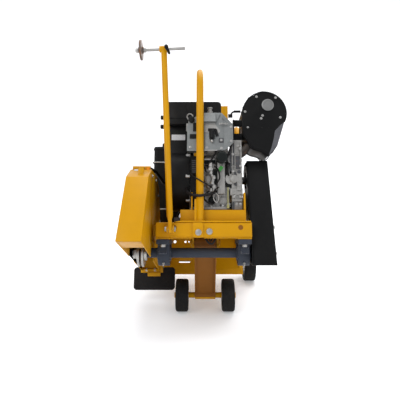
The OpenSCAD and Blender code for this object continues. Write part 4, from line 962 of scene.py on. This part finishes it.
def battery_details():
    """Caps, clamps and cables of the battery."""
    caps = Maker()
    for k in range(3):
        caps.lathe((72 + 28 * k, -217, 301), UP, [(9, 0), (9, 5), (6, 7)], 20)
    caps.box((50, -247, 298.5), (148, -239, 306))
    caps.box((43.4, -269, 232), (154.6, -185, 236))
    caps.done("battery_caps", "black_plastic", width=0.8)
    clamps = Maker()
    for x in (66, 132):
        clamps.box((x - 12, -287, 306), (x + 12, -263, 313))
        clamps.bolt((x, -265, 313), UP, 8)
    for x, heights in ((43, (158.8, 300, 308)), (155, (158.8, 308))):
        clamps.tube([(x, -225, z) for z in heights], 3, 8, steps=1)
    clamps.done("battery_clamps", "zinc_steel", width=0.5)
    live = Maker()
    live.tube([(66, -287, 312), (60, -306, 318), (50, -330, 326), (40, -352, 318)], 5, 10)
    live.done("battery_cable", "red_handle", width=0)
    ground = Maker()
    ground.tube([(132, -287, 312), (140, -304, 300), (146, -330, 250), (146, -344, 214)], 5, 10)
    ground.done("ground_cable", "black_rubber", width=0)


def fixing_details():
    """Water hose clips, bands on the starter, and bolts in the feet."""
    barbs = Maker()
    for y in (-126, -117, -108):
        barbs.lathe((-96, y, 603), BACK, [(9.6, 0), (10.8, 1), (9.6, 5)], 24)
    barbs.lathe((-96, -150, 560), UP, [(9.6, -14), (9.6, -4)], 20)
    barbs.lathe((BLADE_X, SHAFT_Y, 347), UP, [(9.4, -4), (9.4, 6)], 20)
    barbs.lathe((BLADE_X, SHAFT_Y, 345), UP, [(11, -1), (11, 5)], 6)
    barbs.done("hose_clips", "zinc_steel", width=0)
    starter = Maker()
    for x in (-24, 6, 40, 72):
        starter.lathe((x, -342, 262), RIGHT, [(30.2, 0), (31.2, 1), (31.2, 5), (30.2, 6)], 32)
    starter.bolt((30, -356, 316), UP, 8)
    starter.done("starter_bands", "zinc_steel", width=0)
    feet = Maker()
    for side in (-1, 1):
        corners = [(side * PEDESTAL_X + x, -120 + y, 167.6) for x in (-17, 17) for y in (-20, 20)]
        feet.bolts(corners, UP, 9)
    feet.bolts([(x, y, 164.8) for x in (-38, 10) for y in (-258, -214)], UP, 9)
    feet.done("foot_bolts", "zinc_steel", width=0.4)


muffler_details()
shroud_details()
linkage_details()
fuel_details()
column_details()
crankcase_details()
air_cleaner_details()
blower_details()
beam_details()
guard_details()
cover_details()
for side, word in ((-1, "left"), (1, "right")):
    place = ARM @ spot(side * FRONT_TRACK, ARM_LENGTH, 0)
    wheel_details("front_" + word, "front_wheel_" + word, place, FRONT_R, FRONT_WIDTH, hub=12, bolt_ring=26)
for side, word in ((-1, "left"), (1, "right")):
    place = CHASSIS @ spot(side * REAR_TRACK, 0, 0)
    wheel_details("rear_" + word, "rear_wheel_" + word, place, REAR_R, REAR_WIDTH, hub=14, bolt_ring=40)
handle_details()
tank_details()
battery_details()
fixing_details()


# ---------- floor, light and camera ----------

def link(name, data, place=(0, 0, 0)):
    made = bpy.data.objects.new(name, data)
    made.location = place
    bpy.context.scene.collection.objects.link(made)
    return made


def floor():
    """White paper that curves up behind the machine."""
    shader = Shader("floor_paper")
    pale = shader.mix(
        shader.ramp(shader.noise(1.2, 3), 0.3, 0.7), (0.84, 0.84, 0.85), (0.88, 0.88, 0.88),
    )
    shader.join(pale, shader.bsdf.inputs["Base Color"])
    shader.bsdf.inputs["Roughness"].default_value = 0.75
    shader.bsdf.inputs["Emission Color"].default_value = (1, 1, 1, 1)
    shader.bsdf.inputs["Emission Strength"].default_value = 0.22
    half_width = 7
    profile = [(-6.0, 0.0), (2.2, 0.0), (2.9, 0.12), (3.4, 0.5), (3.6, 1.2), (3.6, 6.0)]
    bm = bmesh.new()
    rows = [[bm.verts.new((x, y, z)) for x in (-half_width, half_width)] for y, z in profile]
    for low, high in zip(rows, rows[1:]):
        bm.faces.new((low[0], low[1], high[1], high[0]))
    mesh = bpy.data.meshes.new("floor")
    bm.to_mesh(mesh)
    bm.free()
    for polygon in mesh.polygons:
        polygon.use_smooth = True
    mesh.materials.append(shader.material)
    link("floor", mesh)


def lights():
    """A pale world and four round lamps, each (name, place, aim, size, power)."""
    world = bpy.data.worlds.new("studio")
    bpy.context.scene.world = world
    world.use_nodes = True
    background = world.node_tree.nodes["Background"]
    background.inputs["Color"].default_value = (0.93, 0.95, 1.0, 1)
    background.inputs["Strength"].default_value = 0.75
    for name, place, aim, size, power in (
        ("key", (-1.9, -2.6, 2.6), (0, -0.1, 0.5), 1.8, 44),
        ("fill", (2.4, -2.2, 1.7), (0, 0, 0.5), 2.2, 16),
        ("top", (0.2, 0.5, 3.2), (0, 0, 0.4), 2.6, 62),
        ("back", (1.4, 2.6, 2.2), (0, 0.2, 0.5), 2.0, 40),
    ):
        data = bpy.data.lights.new(name, "AREA")
        data.shape = "DISK"
        data.size = size
        data.energy = power
        lamp = link(name, data, place)
        lamp.rotation_euler = (Vector(aim) - Vector(place)).to_track_quat("-Z", "Y").to_euler()


def camera():
    """A level camera straight in front, shifted to frame the machine."""
    data = bpy.data.cameras.new("camera")
    data.sensor_width = 36
    data.lens = 37.35
    data.shift_x = -0.004
    data.shift_y = -0.125
    made = link("camera", data, (-0.027, -1.837, 0.646))
    made.rotation_euler = (math.radians(90), 0, 0)
    bpy.context.scene.camera = made


floor()
lights()
camera()
bpy.context.scene.view_settings.view_transform = "Standard"
